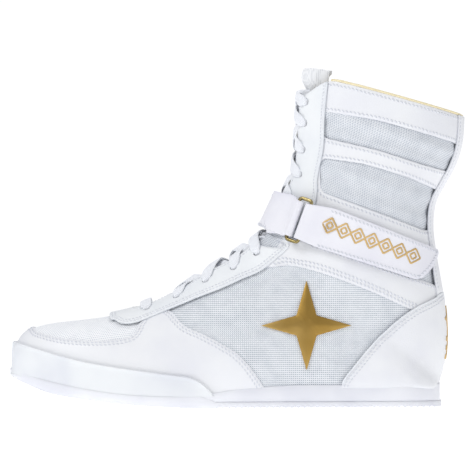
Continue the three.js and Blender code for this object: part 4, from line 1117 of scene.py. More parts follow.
# %% Ankle bands, shaft frames and collar padding
FRAME_FRONT = 40  # the frame starts behind this x, under the stay
padding = rounded([[62, 132], [131, 106], [146, 170], [146, 188], [104, 200], [66, 208]], 6)
for side in SIDES:
    band = half_panel(
        f"ankle_band_{side}_leather", side, [under(ankle_top), over(ankle_low)], [ankle_top, ankle_low],
        PANEL_GROW, open_to=STAY_REACH, relief=edge_press())
    finish_piece(thicken(band, LEATHER_THICK, CUT_EDGE), "boot", "leather", LEATHER, f"ankle_band_{side}")
    frame_panel = half_panel(
        f"shaft_frame_{side}_leather", side, [over(frame_low), under_collar],
        [frame_low, collar_edge, upper_window, lower_window], PANEL_GROW, holes=[upper_window, lower_window],
        open_to=STAY_REACH, relief=edge_press(), extra=[lambda middle, seen: seen[:, 0] > FRAME_FRONT])
    finish_piece(
        thicken(frame_panel, LEATHER_THICK, CUT_EDGE), "boot", "leather", LEATHER, f"shaft_frame_{side}")
    pad = half_panel(
        f"collar_padding_{side}_foam", side, [padding], [padding], HIDDEN_GROW, open_to=0, spacing=5)
    finish_piece(thicken(pad, HIDDEN_THICK, CUT_EDGE), "boot", "foam", FOAM, f"collar_padding_{side}")


# %% Places of the eyelets
EYELET_SPOTS = [
    [-61, 66.6], [-41, 73.7], [-20.6, 84], [-1.9, 92.5], [14.7, 102], [41, 137], [44.9, 154.8], [46.2, 172.2],
    [48.2, 190], [49.6, 204.5],
]
LOW_EYELETS = 5  # this many are in the lower stay on each side
EYELET_REACH = THROAT_HALF + 6.5


def reach_round(along, sideways):
    """The round value at which the last is a distance to the side of its top line."""
    r = np.linspace(0.4, 1, 601)
    out = []
    for a, s in zip(np.atleast_1d(along), np.atleast_1d(sideways)):
        y = last(np.full_like(r, a), r)[:, 1]
        middle = y[-1]
        value = np.interp(abs(s), (middle - y)[::-1], r[::-1])
        out.append(value if s < 0 else 2 - value)
    return np.array(out)


tries = np.arange(6, 25.2, 0.05)
row = last(tries, reach_round(tries, np.full_like(tries, -EYELET_REACH)))[:, [0, 2]]
eyelet_alongs = np.array([tries[np.linalg.norm(row - spot, axis=1).argmin()] for spot in EYELET_SPOTS])
print("eyelets at", eyelet_alongs.round(2))


# %% Holes for the eyelets
def eyelet_ring(place, radius=2.5, sides=20):
    """Places on a circle of the radius in the last's tangent plane, round a place."""
    angle = np.linspace(0, math.tau, sides + 1)
    by_along, by_round, out = (v[0] for v in last_frame(place[None, 0], place[None, 1]))
    up = by_along / np.linalg.norm(by_along)
    across = unit(np.cross(out, up))
    offset = radius * (np.cos(angle)[:, None] * up + np.sin(angle)[:, None] * across)
    return walk(np.repeat(place[None], sides + 1, 0), offset)


eyelet_places = {
    sign: np.column_stack([
        eyelet_alongs, reach_round(eyelet_alongs, np.full(len(eyelet_alongs), sign * EYELET_REACH)),
    ]) for sign in (-1, 1)
}


def away_from(rings):
    """True outside each eyelet's hole."""
    centres = np.array([ring[:-1].mean(0) for ring in rings])
    radii = np.array(
        [np.abs(chart(ring) - chart(centre[None])).max(0) for ring, centre in zip(rings, centres)]
    )

    def rule(middle, seen):
        ok = np.ones(len(middle), bool)
        for centre, radius, ring in zip(centres, radii, rings):
            near = (np.abs(chart(middle) - chart(centre[None])) < radius * 1.2).all(1)
            ok[near] &= ~inside(chart(ring[:-1]), chart(middle[near]))
        return ok
    return rule


# %% Upper eyestays
stay_area = np.vstack([stay_top, [[-20, 119], [-20, 221]]])
for side, sign in zip(SIDES, (-1, 1)):
    rings = [eyelet_ring(place) for place in eyelet_places[sign][LOW_EYELETS:]]
    sewn = seam(stay_top, sign, "top")
    throat_run = throat_line(THROAT_HALF)[0 if sign < 0 else 1]
    collar_run = seam(collar_edge, sign, "top")
    rule = away_from(rings)

    def keep(middle, rule=rule):
        seen = side_view(middle)
        clear = (throat_reach(middle) > THROAT_HALF) & rule(middle, seen)
        return inside(stay_area, seen) & inside(under_collar, seen) & clear

    stay = panel(
        f"eyestay_{side}_leather", (WHOLE, (0.3, 1.0) if sign < 0 else (1.0, 1.7)),
        [sewn, throat_run, collar_run, *rings], keep, STAY_GROW, uv_side, edge_press(), 2.6,
        [sewn, throat_run, collar_run])
    finish_piece(
        thicken(stay, LEATHER_THICK, CUT_EDGE), "boot", "leather", STAY_LEATHER, f"eyestay_upper_{side}")

# %% Lower lace stay, with a notch at the ankle
low_rings = [eyelet_ring(place) for sign in (-1, 1) for place in eyelet_places[sign][:LOW_EYELETS]]
low_rule = away_from(low_rings)
both = [seam(stay_low, -1), seam(stay_low, 1, "top")]
notch = rounded(
    [[8, 124], [19, 119.5], [27, 115.8], [32.3, 110], [29.5, 106], [20, 106.6], [9, 109.5]], 3, 0.7
)
notches = [seam(notch, -1), seam(notch, 1, "top")]
stay_low_area = np.vstack([stay_low, [[0, 160], [-86.3, 160]]])


def keep_low(middle):
    """Inside the stay's outline, outside the slot, the notch and the eyelets."""
    seen = side_view(middle)
    clear = (throat_reach(middle) > THROAT_HALF) & low_rule(middle, seen) & ~inside(notch, seen)
    return inside(stay_low_area, seen) & clear


stay = panel(
    "lace_stay_leather", ((4, 17.5), (0.3, 1.7)), [*both, throat_edge, *notches, *low_rings], keep_low,
    STAY_GROW, uv_top, edge_press(), 2.6, [*both, throat_edge, *notches])
finish_piece(thicken(stay, LEATHER_THICK, CUT_EDGE), "boot", "leather", STAY_LEATHER, "lace_stay_lower")

# %% Mesh behind the ankle notch
patch_line = rounded([[2, 128], [22, 121], [36, 112], [32, 103], [18, 103.5], [2, 107]], 3)
for side in SIDES:
    patch = half_panel(f"ankle_notch_{side}_mesh", side, [patch_line], [patch_line], -0.4, shaft_uv)
    finish_piece(thicken(patch, 0.6), "boot", "mesh", WINDOW_KNIT)


# %% Panels that go over the foot
def wrap_panel(name, lines, areas, grow, open_to=0, spacing=3.2, end=17.0, relief=None):
    """A panel of the foot that goes over the top from one side to the other."""
    runs = [seam(line, sign, "top") for line in lines for sign in (-1, 1)]
    if open_to:
        runs.append(closed_throat(open_to))

    def keep(middle):
        seen = side_view(middle)
        ok = (middle[:, 1] > BOTTOM_ROUND) & (middle[:, 1] < 2 - BOTTOM_ROUND)
        for area in areas:
            ok &= inside(area, seen)
        if open_to:
            ok &= throat_reach(middle) > open_to
        return ok

    region = ((0, end), (BOTTOM_ROUND, 2 - BOTTOM_ROUND))
    return panel(name, region, runs, keep, grow, uv_top, relief, spacing, runs, weld=TOE_WELD)


TOE_WELD = 0.6  # the sections run together at the toe's tip, so points closer than this are merged
vamp = wrap_panel("vamp_mesh_panel", [vamp_seam], [toe_area], MESH_GROW, STAY_REACH, end=9)
finish_piece(thicken(vamp, MESH_THICK), "boot", "mesh", VAMP_KNIT, "vamp")
lining = wrap_panel("vamp_lining_cloth", [vamp_seam], [toe_area], LINING_GROW, THROAT_HALF, 5, end=9)
finish_piece(thicken(lining, LINING_THICK), "boot", "mesh", TONGUE_KNIT, "vamp_lining")
puff = smooth_line([[-175, 60], [-112, 60], [-109, 40], [-106, 10]])
puff_panel = wrap_panel("toe_stiffener", [puff], [under(puff)], HIDDEN_GROW, 0, 5, end=6)
finish_piece(thicken(puff_panel, HIDDEN_THICK), "boot", "board", BOARD, "toe_puff")
mudguard = wrap_panel(
    "mudguard_leather", [mudguard_edge], [under(mudguard_edge)], PANEL_GROW, 0, 3.0, 13, relief=edge_press())
finish_piece(thicken(mudguard, LEATHER_THICK, CUT_EDGE), "boot", "leather", LEATHER, "mudguard")

# %% Toe rand
RIM_HEIGHT, RIM_AT, RIM_SPREAD = 0.75, 0.9, 0.8
RAND_GROW, RAND_THICK = 2.1, 1.8


def raised_rim(places, near):
    """A moulded bead just inside the rand's edge: a bell curve of the distance from it."""
    return RIM_HEIGHT * np.exp(-(((near - RIM_AT) / RIM_SPREAD) ** 2))


rand = wrap_panel("toe_rand_rubber", [rand_top], [under(rand_top)], RAND_GROW, 0, 3.0, 12, relief=raised_rim)
finish_piece(thicken(rand, RAND_THICK, 0.4), "boot", "rubber", RAND_RUBBER, "toe_rand")


# %% Heel: counter, foxing and backstay
def heel_panel(name, lines, areas, grow, spacing=3.2, relief=None, start=9.0):
    """A panel that goes round the heel from one side to the other."""
    runs = [seam(line, sign, "heel") for line in lines for sign in (-1, 1)]

    def keep(middle):
        seen = side_view(np.column_stack([middle[:, 0], np.abs(middle[:, 1])]))
        ok = np.ones(len(middle), bool)
        for area in areas:
            ok &= inside(area, seen)
        return ok

    region = ((start, LAST_STATION), (-0.8, 0.8))
    return panel(name, region, runs, keep, grow, uv_wrap, relief, spacing, runs)


counter_edge = smooth_line([[70, 14], [88, 40], [108, 62], [126, 68], [175, 68]])
counter = heel_panel("heel_stiffener", [counter_edge], [under(counter_edge)], HIDDEN_GROW, 5)
finish_piece(thicken(counter, HIDDEN_THICK), "boot", "board", BOARD, "heel_counter")
foxing_area = np.vstack([foxing, [[190, -20], [69.4, -20]]])
foxing_panel = heel_panel("heel_foxing_leather", [foxing], [foxing_area], STAY_GROW, 3.0, edge_press())
finish_piece(thicken(foxing_panel, LEATHER_THICK, CUT_EDGE), "boot", "leather", LEATHER, "heel_foxing")
backstay_area = np.vstack([backstay, [[190, 204], [190, 74]]])
foxing_top = smooth_line([[110, 62.4], [132.2, 73.4], [138.3, 77.5], [190, 104.7]])
backstay_panel = heel_panel(
    "backstay_leather", [backstay, foxing_top, collar_edge],
    [backstay_area, over(foxing_top), under_collar], STAY_GROW, 2.6, edge_press())
finish_piece(thicken(backstay_panel, LEATHER_THICK, CUT_EDGE), "boot", "leather", LEATHER, "backstay")

# %% Tongue, padded and free at its top
TONGUE = [[-84, 30], [20, 30], [66, 120], [71, 219], [66, 224.5], [60, 227], [48, 228], [30, 227], [-84, 160]]
tongue_line = rounded(TONGUE, 4)
TONGUE_HALF = THROAT_HALF + 12
tongue_edge = closed_throat(TONGUE_HALF)


def keep_tongue(middle):
    """Inside the tongue's outline, and no further from the slot's middle than its half width."""
    return inside(tongue_line, side_view(middle)) & (throat_reach(middle) < TONGUE_HALF)


def ease(share):
    """0 to 1 with a level start and end."""
    share = np.clip(share, 0, 1)
    return share * share * (3 - 2 * share)


def tongue_puff(places, near):
    """Padding: the tongue swells between the stays, and rolls forward where it stands free over them."""
    far = throat_reach(places)
    seen = side_view(places)
    slot = np.clip(1 - (far / 9.5) ** 2, 0, 1)
    free = np.maximum(ease((seen[:, 1] - height_of(collar, seen[:, 0])) / 4), ease(slot * 3))
    roll = 8.0 * ease((seen[:, 1] - 207) / 16) * free * ease((24 - far) / 11)
    return 1.3 * np.sqrt(np.clip(near / 6, 0, 1)) + np.maximum(3.0 * slot, roll) - 1.0


tongue = panel(
    "tongue_padding", ((5, LAST_STATION), (0.35, 1.65)), [
        tongue_edge, seam(tongue_line, -1), seam(tongue_line, 1, "top")
    ],
    keep_tongue, -8.6, uv_top, tongue_puff, 2.4)
finish_piece(thicken(tongue, 3.6, 1.1, 3), "boot", "mesh", TONGUE_KNIT, "tongue")

# %% [markdown]
# ## Bindings and laces
# A binding, a lace and a cord of embroidery are the same thing to a modeller: a small closed profile
# carried along a path, with its width direction held to the surface. One function sweeps them all.


# %% Sweeping a profile
def flow(points, closed=False):
    """Unit tangents along a path, by central differences."""
    if closed:
        return unit(np.roll(points, -1, 0) - np.roll(points, 1, 0))
    return unit(np.gradient(points, axis=0))


def oval(width, height, sides=12, power=2.6):
    """A rounded flat profile, a superellipse: columns are across and up."""
    angle = np.linspace(0, math.tau, sides, endpoint=False)
    c, s = np.cos(angle), np.sin(angle)
    share = 2 / power
    return np.column_stack([
        0.5 * width * np.sign(c) * np.abs(c) ** share, 0.5 * height * np.sign(s) * np.abs(s) ** share,
    ])


def sweep(name, path, wide, profile, scale=None, closed=False):
    """Carry a profile along a path: across goes along wide made square to the path, up is square to
    both. scale changes the width of each ring. The UV map is millimetres along and across."""
    way = flow(path, closed)
    wide = unit(wide - (wide * way).sum(-1, keepdims=True) * way)
    up = np.cross(way, wide)
    scale = np.ones(len(path)) if scale is None else scale
    across = profile[None, :, 0:1] * scale[:, None, None]
    points = path[:, None] + across * wide[:, None] + profile[None, :, 1:2] * up[:, None]
    count, sides = points.shape[:2]
    run = np.concatenate([[0], np.cumsum(np.linalg.norm(np.diff(path, axis=0), axis=1))])
    uv = np.stack([np.repeat(run[:, None], sides, 1), across[..., 0]], -1).reshape(-1, 2)
    faces = loft(count, sides, capped=not closed)
    if closed:
        j = np.arange(sides)
        k = (j + 1) % sides
        start = (count - 1) * sides
        faces += [tuple(face) for face in np.stack([start + j, start + k, k, j], -1)]
    piece = build(name, points.reshape(-1, 3), faces, uv)
    tidy_mesh(piece, 0.001)
    return piece


# %% Joining, and a path round the heel
def join(name, pieces):
    """One object from several."""
    mesh = bmesh.new()
    for piece in pieces:
        mesh.from_mesh(piece.data)
        bpy.data.objects.remove(piece)
    data = bpy.data.meshes.new(name)
    mesh.to_mesh(data)
    mesh.free()
    whole = bpy.data.objects.new(name, data)
    bpy.context.scene.collection.objects.link(whole)
    return whole


def heel_path(line, start_x, step=1.5):
    """Places along a side-view line from a start on the lateral side, round the heel to the medial."""
    line = line[line[:, 0] > start_x]
    places = locate(line)
    keep = places[:, 1] > 0.015
    side = places[keep]
    back = np.array([[side[-1, 0], 0.0]])
    mirror = side[::-1] * [1, -1]
    whole = chart(np.vstack([side, back, mirror]))
    return unchart(even_steps(whole, step))


# %% Collar binding
rim = heel_path(collar, 61.5)
_, _, rim_out = last_frame(rim[:, 0], rim[:, 1])
binding = sweep(
    "collar_piping", last(rim[:, 0], rim[:, 1], -2.2) + [0, 0, -0.4], rim_out, oval(5.0, 1.7, 14, 2.8)
)
finish_piece(binding, "boot", "gold_cloth", PIPING, "collar_binding")


# %% Rolled edges of the eyestays and the foxing
def rolled_edge(name, line, side, wrap, grow, size, rule):
    """A round bead along a side-view line on the last, where the rule on side-view points is true."""
    run = seam(line, side, wrap)
    seen = side_view(np.column_stack([run[:, 0], np.abs(run[:, 1])])) if wrap == "heel" else side_view(run)
    run = run[rule(seen) & (np.abs(np.mod(run[:, 1], 1)) > 0.004)]
    path = last(run[:, 0], run[:, 1], grow)
    both_ = even_steps(np.column_stack([path, run]), 1.0)
    _, _, out = last_frame(both_[:, 3], both_[:, 4])
    return sweep(name, both_[:, :3], out, oval(size, size, 8, 2))


beading = []
for sign in (-1, 1):
    beading.append(rolled_edge(
        "bead", stay_top, sign, "top", 1.0, 1.5,
        lambda seen: (seen[:, 1] > 133) & (seen[:, 1] < height_of(collar, seen[:, 0]) - 1)))
    beading.append(rolled_edge(
        "bead", foxing, sign, "heel", 0.95, 1.3, lambda seen: (seen[:, 1] > 15) & (seen[:, 0] < 139)))
beads_piece = join("rolled_edges", beading)
finish_piece(beads_piece, "boot", "leather", STAY_LEATHER)

# %% Gold piping under the stays' inner edges, up the shaft
piping = []
for run in throat_line(THROAT_HALF + 0.4):
    run = run[(run[:, 0] > 19) & (side_view(run)[:, 1] < height_of(collar, side_view(run)[:, 0]) - 2)]
    path = even_steps(np.column_stack([last(run[:, 0], run[:, 1], -0.2), run]), 1.5)
    _, _, out = last_frame(path[:, 3], path[:, 4])
    piping.append(sweep("bead", path[:, :3], out, oval(1.8, 1.6, 8, 2)))
throat_piping = join("throat_piping", piping)
finish_piece(throat_piping, "boot", "gold_cloth", PIPING)

# %% Lace: stops of a crossing, as millimetres to the side and above the last
LACE_WIDE, LACE_THICK = 8.0, 1.6
OVER, UNDER = 2.2, -5.4
R = EYELET_REACH
ROW_COUNT = len(eyelet_alongs)
SHOWN = {
    True: [
        [-R, 0.6], [-R + 0.5, OVER - 0.3], [-R + 2, OVER], [-11, OVER], [-6, 1.4], [0, 0.4], [6, -1.6],
        [9.5, -4.2], [12.5, UNDER], [R - 1, UNDER], [R, UNDER + 1.6], [R, -1.6]
    ],
    False: [
        [-R, 0.6], [-R + 0.5, OVER - 0.3], [-R + 2, OVER], [-11, OVER - 0.2], [-6.5, -0.4], [0, -2.0],
        [6, -3.2], [9.5, -4.8], [12.5, UNDER], [R - 1, UNDER], [R, UNDER + 1.6], [R, -1.6]
    ],
}
TUCKED = {
    top: [
        [-R, -1.6], [-R, UNDER + 1.6], [-R + 1, UNDER], [-11, UNDER], [-6, mid], [0, mid], [6, mid],
        [11, UNDER], [R - 1, UNDER], [R, UNDER + 1.6], [R, -1.6]
    ] for top,
    mid in ((True, -1.6), (False, -3.6))
}


# %% Lace: the whole route
def lace_stops(start, end, sign, heights):
    """Places and heights of one crossing: the fan place runs evenly from one eyelet to the next."""
    sideways = np.array([s for s, _ in heights])
    share = (sideways + R) / (2 * R)
    along = start + share * (end - start)
    return np.column_stack([along, sideways * -sign, [h for _, h in heights]])


def lace_half(sign, top):
    """The stops of one half of the lace, from the lowest row up: a hidden crossing, then shown ones, and
    an end that dives into the throat above the highest eyelet."""
    stops = [lace_stops(eyelet_alongs[0], eyelet_alongs[1], sign, TUCKED[top])]
    for i in range(1, ROW_COUNT - 1):
        sign = -sign
        stops.append(lace_stops(eyelet_alongs[i], eyelet_alongs[i + 1], sign, SHOWN[top]))
    sign = -sign
    ending = SHOWN[top][:-3]
    stops.append(lace_stops(eyelet_alongs[-1], eyelet_alongs[-1] + 0.3, sign, ending))
    return np.vstack(stops)


bar = np.array(
    [
        [eyelet_alongs[0], s, h] for s,
        h in (
            (-R, 0.6), (-R + 0.6, OVER - 0.2), (-R + 3, OVER), (-6, OVER + 0.5), (6, OVER + 0.5),
            (R - 3, OVER), (R - 0.6, OVER - 0.2), (R, 0.6)
        )
    ]
)
stops = np.vstack([lace_half(-1, True)[::-1], bar, lace_half(1, False)])
stop_points = last(stops[:, 0], reach_round(stops[:, 0], stops[:, 1]), stops[:, 2])
keepers = np.concatenate([[True], np.linalg.norm(np.diff(stop_points, axis=0), axis=1) > 0.3])
stops, stop_points = stops[keepers], stop_points[keepers]
rounds = reach_round(stops[:, 0], stops[:, 1])
up_way, _, _ = last_frame(stops[:, 0], rounds)
narrow = np.clip(1 - 0.42 * np.exp(-(((np.abs(stops[:, 1]) - R) / 1.4) ** 2)), 0.5, 1)
table = np.column_stack([stop_points, unit(up_way), narrow])
lace_line = even_steps(spline(table, np.linspace(0, len(table) - 1, 12 * len(table))), 1.1)
lace_line[:, :3] = np.vstack(
    [
        lace_line[:1, :3], (lace_line[:-2, :3] + 2 * lace_line[1:-1, :3] + lace_line[2:, :3]) / 4,
        lace_line[-1:, :3]
    ]
)
lace = sweep(
    "flat_lace", lace_line[:, :3], lace_line[:, 3:6], oval(LACE_WIDE, LACE_THICK, 12, 3.2), lace_line[:, 6]
)
finish_piece(lace, "boot", "lace", LACE, "lace")

# %% [markdown]
# ## Strap and ring
# The ankle strap is one flat band that folds round the two long bars of a wire ring. It is laid out in
# the ring's own axes near the ring, and on the last further away, and the two are blended, so the fold
# and the run are one skin.

# %% Ring axes, from the two joints
tilt = next(joint for joint in frame["joints"] if joint["name"] == "ring_tilt")
opening = next(joint for joint in frame["joints"] if joint["name"] == "strap_open")
front_bar = np.array(tilt["pos_m"]) / MM - SHIFT
rear_bar = np.array(opening["pos_m"]) / MM - SHIFT
bar_way = unit(-np.array(tilt["axis"], float))
strap_way = unit(rear_bar - front_bar)
ring_out = np.cross(strap_way, bar_way)
ring_out = ring_out if ring_out[1] < 0 else -ring_out
ring_middle = (front_bar + rear_bar) / 2
ring_reach = np.linalg.norm(rear_bar - front_bar)
print("ring reach", ring_reach.round(2), "out", ring_out.round(2))


# %% The wire ring
def ring_frame(b, s, lift):
    """A point from millimetres along the bars, along the strap and out of the ring's plane."""
    return ring_middle + b[..., None] * bar_way + s[..., None] * strap_way + lift[..., None] * ring_out


HALF_BAR, CORNER, WIRE = 14.6, 1.8, 1.2
corner_angle = np.linspace(0, math.pi / 2, 9)
ring_path = np.vstack([
    np.column_stack([
        b * (HALF_BAR - CORNER) + CORNER * np.cos(corner_angle + k * math.pi / 2),
        s * (ring_reach / 2 - CORNER) + CORNER * np.sin(corner_angle + k * math.pi / 2),
    ]) for k, (b, s) in enumerate(((1, 1), (-1, 1), (-1, -1), (1, -1)))
])
ring_path = even_steps(np.vstack([ring_path, ring_path[:1]]), 0.8)[:-1]
ring_line = ring_frame(ring_path[:, 0], ring_path[:, 1], np.zeros(len(ring_path)))
ring = sweep(
    "wire_ring", ring_line, np.repeat(ring_out[None], len(ring_line), 0), oval(2 * WIRE, 2 * WIRE, 12, 2),
    closed=True
)
finish_piece(ring, "ring", "metal", RING_METAL, "ring")


# %% Strap skins
def locate_grown(line, grow, side=-1):
    """Places whose grown surface lies behind side-view points: the ungrown search is repeated with the
    points moved back by the growth that was found."""
    line = np.asarray(line, float)
    places = locate(line)
    for _ in range(4):
        moved = (last(places[:, 0], places[:, 1], grow) - last(places[:, 0], places[:, 1]))[:, [0, 2]]
        places = locate(line - moved)
    if side > 0:
        places[:, 1] = 2 - places[:, 1]
    return places


# %% A strap that folds round a bar of the ring
STRAP_HALF, FOLD_HALF = 13.0, 12.3  # half of its width on the last, and inside the ring
FOLD_REACH = 3.2  # the fold stands this far off the bar's axis
TUCK = np.array([[6.0], [3.0]])  # where its hidden end lies under it, from the bar


def strap_skin(name, edges, grow, fold_side, rows=15, round_end=3.0, thickness=1.2):
    """The strap's middle skin. edges are its two long edges as runs of places. The fold comes first: an
    ellipse round the bar from underneath, in the ring's axes. One spline then carries it on into the
    run over the last. fold_side is 1 for the rear bar and -1 for the front one."""
    across = np.linspace(-1, 1, rows)
    low_edge, high_edge = (chart(edge) for edge in edges)
    run = [
        even_steps(edge, np.linalg.norm(np.diff(edge, axis=0), axis=1).sum() / 60)
        for edge in (low_edge, high_edge)
    ]
    length = np.linalg.norm(np.diff(run[0], axis=0), axis=1).sum()
    along = np.linspace(0, length, len(run[0]))
    squeeze = np.ones(len(along))
    if round_end:
        into = np.clip(along - (length - round_end), 0, round_end)
        squeeze = 1 - (round_end - np.sqrt(np.maximum(round_end**2 - into**2, 0))) / STRAP_HALF
    middle, half = (run[0] + run[1]) / 2, (run[1] - run[0]) / 2
    flat = middle[:, None] + across[None, :, None] * (half * squeeze[:, None])[:, None]
    places = unchart(flat.reshape(-1, 2)).reshape(*flat.shape)
    surface = last(places[..., 0], places[..., 1], grow)
    bar_at = fold_side * ring_reach / 2
    b = FOLD_HALF * across[None, :]
    radius = WIRE + 0.15 + thickness / 2
    turn = np.linspace(-math.pi / 2 - 0.2, math.pi / 2, 9)[:, None]
    fold_s = bar_at - fold_side * FOLD_REACH * np.cos(turn) + 0 * b
    fold_n = radius * np.sin(turn) + 0 * b
    fold = ring_frame(b + 0 * fold_s, fold_s, fold_n)
    tuck_s = TUCK * fold_side + bar_at + 0 * b
    tuck = ring_frame(b + 0 * tuck_s, tuck_s, np.array([[-radius - 0.5], [-radius - 0.1]]) + 0 * b)
    table = np.concatenate([tuck, fold, surface[3:]], 0)
    count = len(table)
    dense = spline(table.reshape(count, -1), np.linspace(0, count - 1, 2 * count)).reshape(2 * count, rows, 3)
    for _ in range(2):
        inner = (dense[:-2] + 2 * dense[1:-1] + dense[2:]) / 4
        hold = np.arange(1, len(dense) - 1) > 2 * len(fold) + 2
        dense[1:-1][hold] = inner[hold]
    step_u = np.concatenate([[0], np.cumsum(np.linalg.norm(np.diff(dense[:, rows // 2], axis=0), axis=1))])
    uv = np.stack([np.repeat(step_u[:, None], rows, 1), np.repeat(b, len(dense), 0)], -1)
    to_side, to_end = (1 - np.abs(across))[None] * STRAP_HALF, (step_u[-1] - step_u)[:, None]
    edge = np.minimum(to_side + 0 * to_end, to_end + 0 * b)
    faces = loft(len(dense), rows, closed=False, capped=False)
    piece = build(name, dense.reshape(-1, 3), faces, uv.reshape(-1, 2), edge.ravel())
    i, j = len(dense) // 2, rows // 2
    normal = np.cross(dense[i + 1, j] - dense[i, j], dense[i, j + 1] - dense[i, j])
    if np.dot(normal, ring_out) > 0:
        piece.data.flip_normals()
    return thicken(piece, thickness, 0.35, offset=0)


# %% Strap tail and anchor
TAIL_GROW, ANCHOR_GROW = 3.8, 4.7
TAIL_LINES = ([[49.6, 108], [121, 85]], [[59.5, 134.9], [135.3, 105.2]])
tail_edges = [locate_grown(smooth_line(line), TAIL_GROW) for line in TAIL_LINES]
tail = strap_skin("strap_tail_leather", tail_edges, TAIL_GROW, 1)
finish_piece(tail, "strap", "leather", STRAP_LEATHER, "strap_tail")


def over_top(lateral, medial, grow):
    """An edge that starts on the lateral side and goes over the front line to the medial side."""
    lateral, medial = (
        locate_grown(smooth_line(line), grow, side) for line, side in ((lateral, -1), (medial, 1))
    )
    edge = even_steps(chart(np.vstack([lateral, medial])), 1.0)
    for _ in range(24):
        edge[1:-1] = (edge[:-2] + 2 * edge[1:-1] + edge[2:]) / 4
    return unchart(edge)


anchor_edges = [
    over_top([[36, 112], [26, 116], [17.5, 120.5]], [[17.5, 120.5], [28, 117.5], [75.5, 101.5]], ANCHOR_GROW),
    over_top([[43, 140.7], [34, 142.6], [26, 144.6]], [[26, 144.6], [40, 141], [82, 126]], ANCHOR_GROW),
]
anchor = strap_skin("strap_anchor_leather", anchor_edges, ANCHOR_GROW, -1)
finish_piece(anchor, "boot", "leather", STRAP_LEATHER, "strap_anchor")

# %% Strap base, its tapes and the medial pad
STRAP_BASE = [[64, 131], [129, 106], [118, 88], [57, 108.5]]
base_line = rounded(STRAP_BASE, 3)
base = half_panel(
    "strap_base_leather", "lateral", [base_line], [base_line], STAY_GROW, open_to=0, relief=edge_press())
finish_piece(thicken(base, LEATHER_THICK, CUT_EDGE), "boot", "leather", STRAP_LEATHER, "strap_base")
tape_line = rounded([[68, 128], [127.5, 104.8], [117, 90.5], [62, 109.5]], 2)
loop = half_panel("loop_tape_patch", "lateral", [tape_line], [tape_line], 2.1, open_to=0)
finish_piece(thicken(loop, 0.5), "boot", "mesh", LOOP, "loop_patch")
hook = half_panel("hook_tape_patch", "lateral", [tape_line], [tape_line], 2.95, open_to=0)
finish_piece(thicken(hook, 0.5), "strap", "mesh", HOOK, "hook_patch")
pad_line = rounded([[63, 130], [80, 124.5], [74.5, 103.5], [57, 109]], 3)
pad = half_panel(
    "strap_pad_foam", "medial", [pad_line], [pad_line], 3.7, open_to=0, relief=edge_press(1.2, 5)
)
finish_piece(thicken(pad, 3.0, 0.5), "boot", "foam", FOAM, "strap_pad_medial")

# %% [markdown]
# ## Marks
# The gold marks are generic: a star of four points cut in facets on each side, a row of embroidered
# diamonds on the strap, and a small star over bars at the heel.

# %% Side stars
STAR_X, STAR_Z, STAR_TIP, STAR_WAIST = 46.0, 55.0, 30.0, 9.5
star_angle = np.arange(8) * math.pi / 4
star_reach = np.where(np.arange(8) % 2 == 0, STAR_TIP, STAR_WAIST)
star = np.column_stack([STAR_X + star_reach * np.cos(star_angle), STAR_Z + star_reach * np.sin(star_angle)])
star_outline = even_steps(np.vstack([star, star[:1]]), 1.0)
ridges = [even_steps(np.array([[STAR_X, STAR_Z], corner]), 1.5) for corner in star]


def star_facets(places, near):
    """Raised towards the eight ridges' meeting point, like a cut stone."""
    return 0.9 * np.clip(near / 6, 0, 1) - 0.1


for side in SIDES:
    mark = half_panel(
        f"star_{side}", side, [star_outline], [star_outline, *ridges], PANEL_GROW,
        open_to=0, relief=star_facets, spacing=2.0, edges=[0])
    finish_piece(thicken(mark, 1.0, 0.15), "boot", "gold", FOIL, f"emblem_{side}")

# %% Diamonds on the strap
LEAN, RISE = np.array([0.94, -0.34]), np.array([0.34, 0.94])
DIAMONDS, DIAMOND_PITCH, FIRST_DIAMOND = 7, 9.9, np.array([61.5, 121.4])
DIAMOND_GROW = 4.45
beads = []
for k in range(DIAMONDS):
    centre = FIRST_DIAMOND + k * DIAMOND_PITCH * LEAN
    for size, width, height in ((0.86, 1.25, 0.7), (0.4, 1.2, 0.7)):
        corners = [
            centre + size * (a * 6.0 * LEAN + b * 6.2 * RISE) for a, b in ((1, 0), (0, 1), (-1, 0), (0, -1))
        ]
        outline = rounded(corners, 0.8, 0.5)[:-1]
        places = locate_grown(outline, 4.4)
        lifted = 0.7 * np.clip((68 - outline[:, 0]) / 12, 0, 1)  # the strap rises towards the ring
        path = last(places[:, 0], places[:, 1], DIAMOND_GROW + lifted)
        _, _, out = last_frame(places[:, 0], places[:, 1])
        beads.append(
            sweep("bead", path, np.cross(flow(path, True), out), oval(width, height, 8, 2), closed=True)
        )
diamonds = join("strap_diamonds", beads)
finish_piece(diamonds, "strap", "gold", EMBROIDERY, "strap_emblem")


# %% Heel mark
def behind(points):
    """Places on the heel line's two sides from y and z seen from behind."""
    points = np.asarray(points, float)
    back = np.interp(points[:, 1], FINE_ROWS[FINE > HEEL + 0.5, 1], FINE[FINE > HEEL + 0.5])
    r = np.linspace(0, 0.5, 251)
    y = last(back[:, None] + 0 * r, r[None] + 0 * back[:, None])[..., 1]
    places = [np.interp(abs(p[0]), row[0] - row, r) for p, row in zip(points, y)]
    return np.column_stack([back, np.array(places) * np.where(points[:, 0] < 0, 1, -1)])


def heel_shape(outline):
    """A closed outline at fine even steps."""
    return even_steps(np.vstack([outline, outline[:1]]), 0.6)


small_reach = np.where(np.arange(8) % 2 == 0, 8.5, 3.2)
small_star = np.column_stack([small_reach * np.cos(star_angle), 59 + small_reach * np.sin(star_angle)])
shapes = [heel_shape(small_star), heel_shape(np.array([[-1, 33], [1, 33], [1, 52], [-1, 52]], float))]
shapes += [heel_shape(np.array([[-6, z], [6, z], [6, z + 3], [-6, z + 3]], float)) for z in (44, 38, 32)]


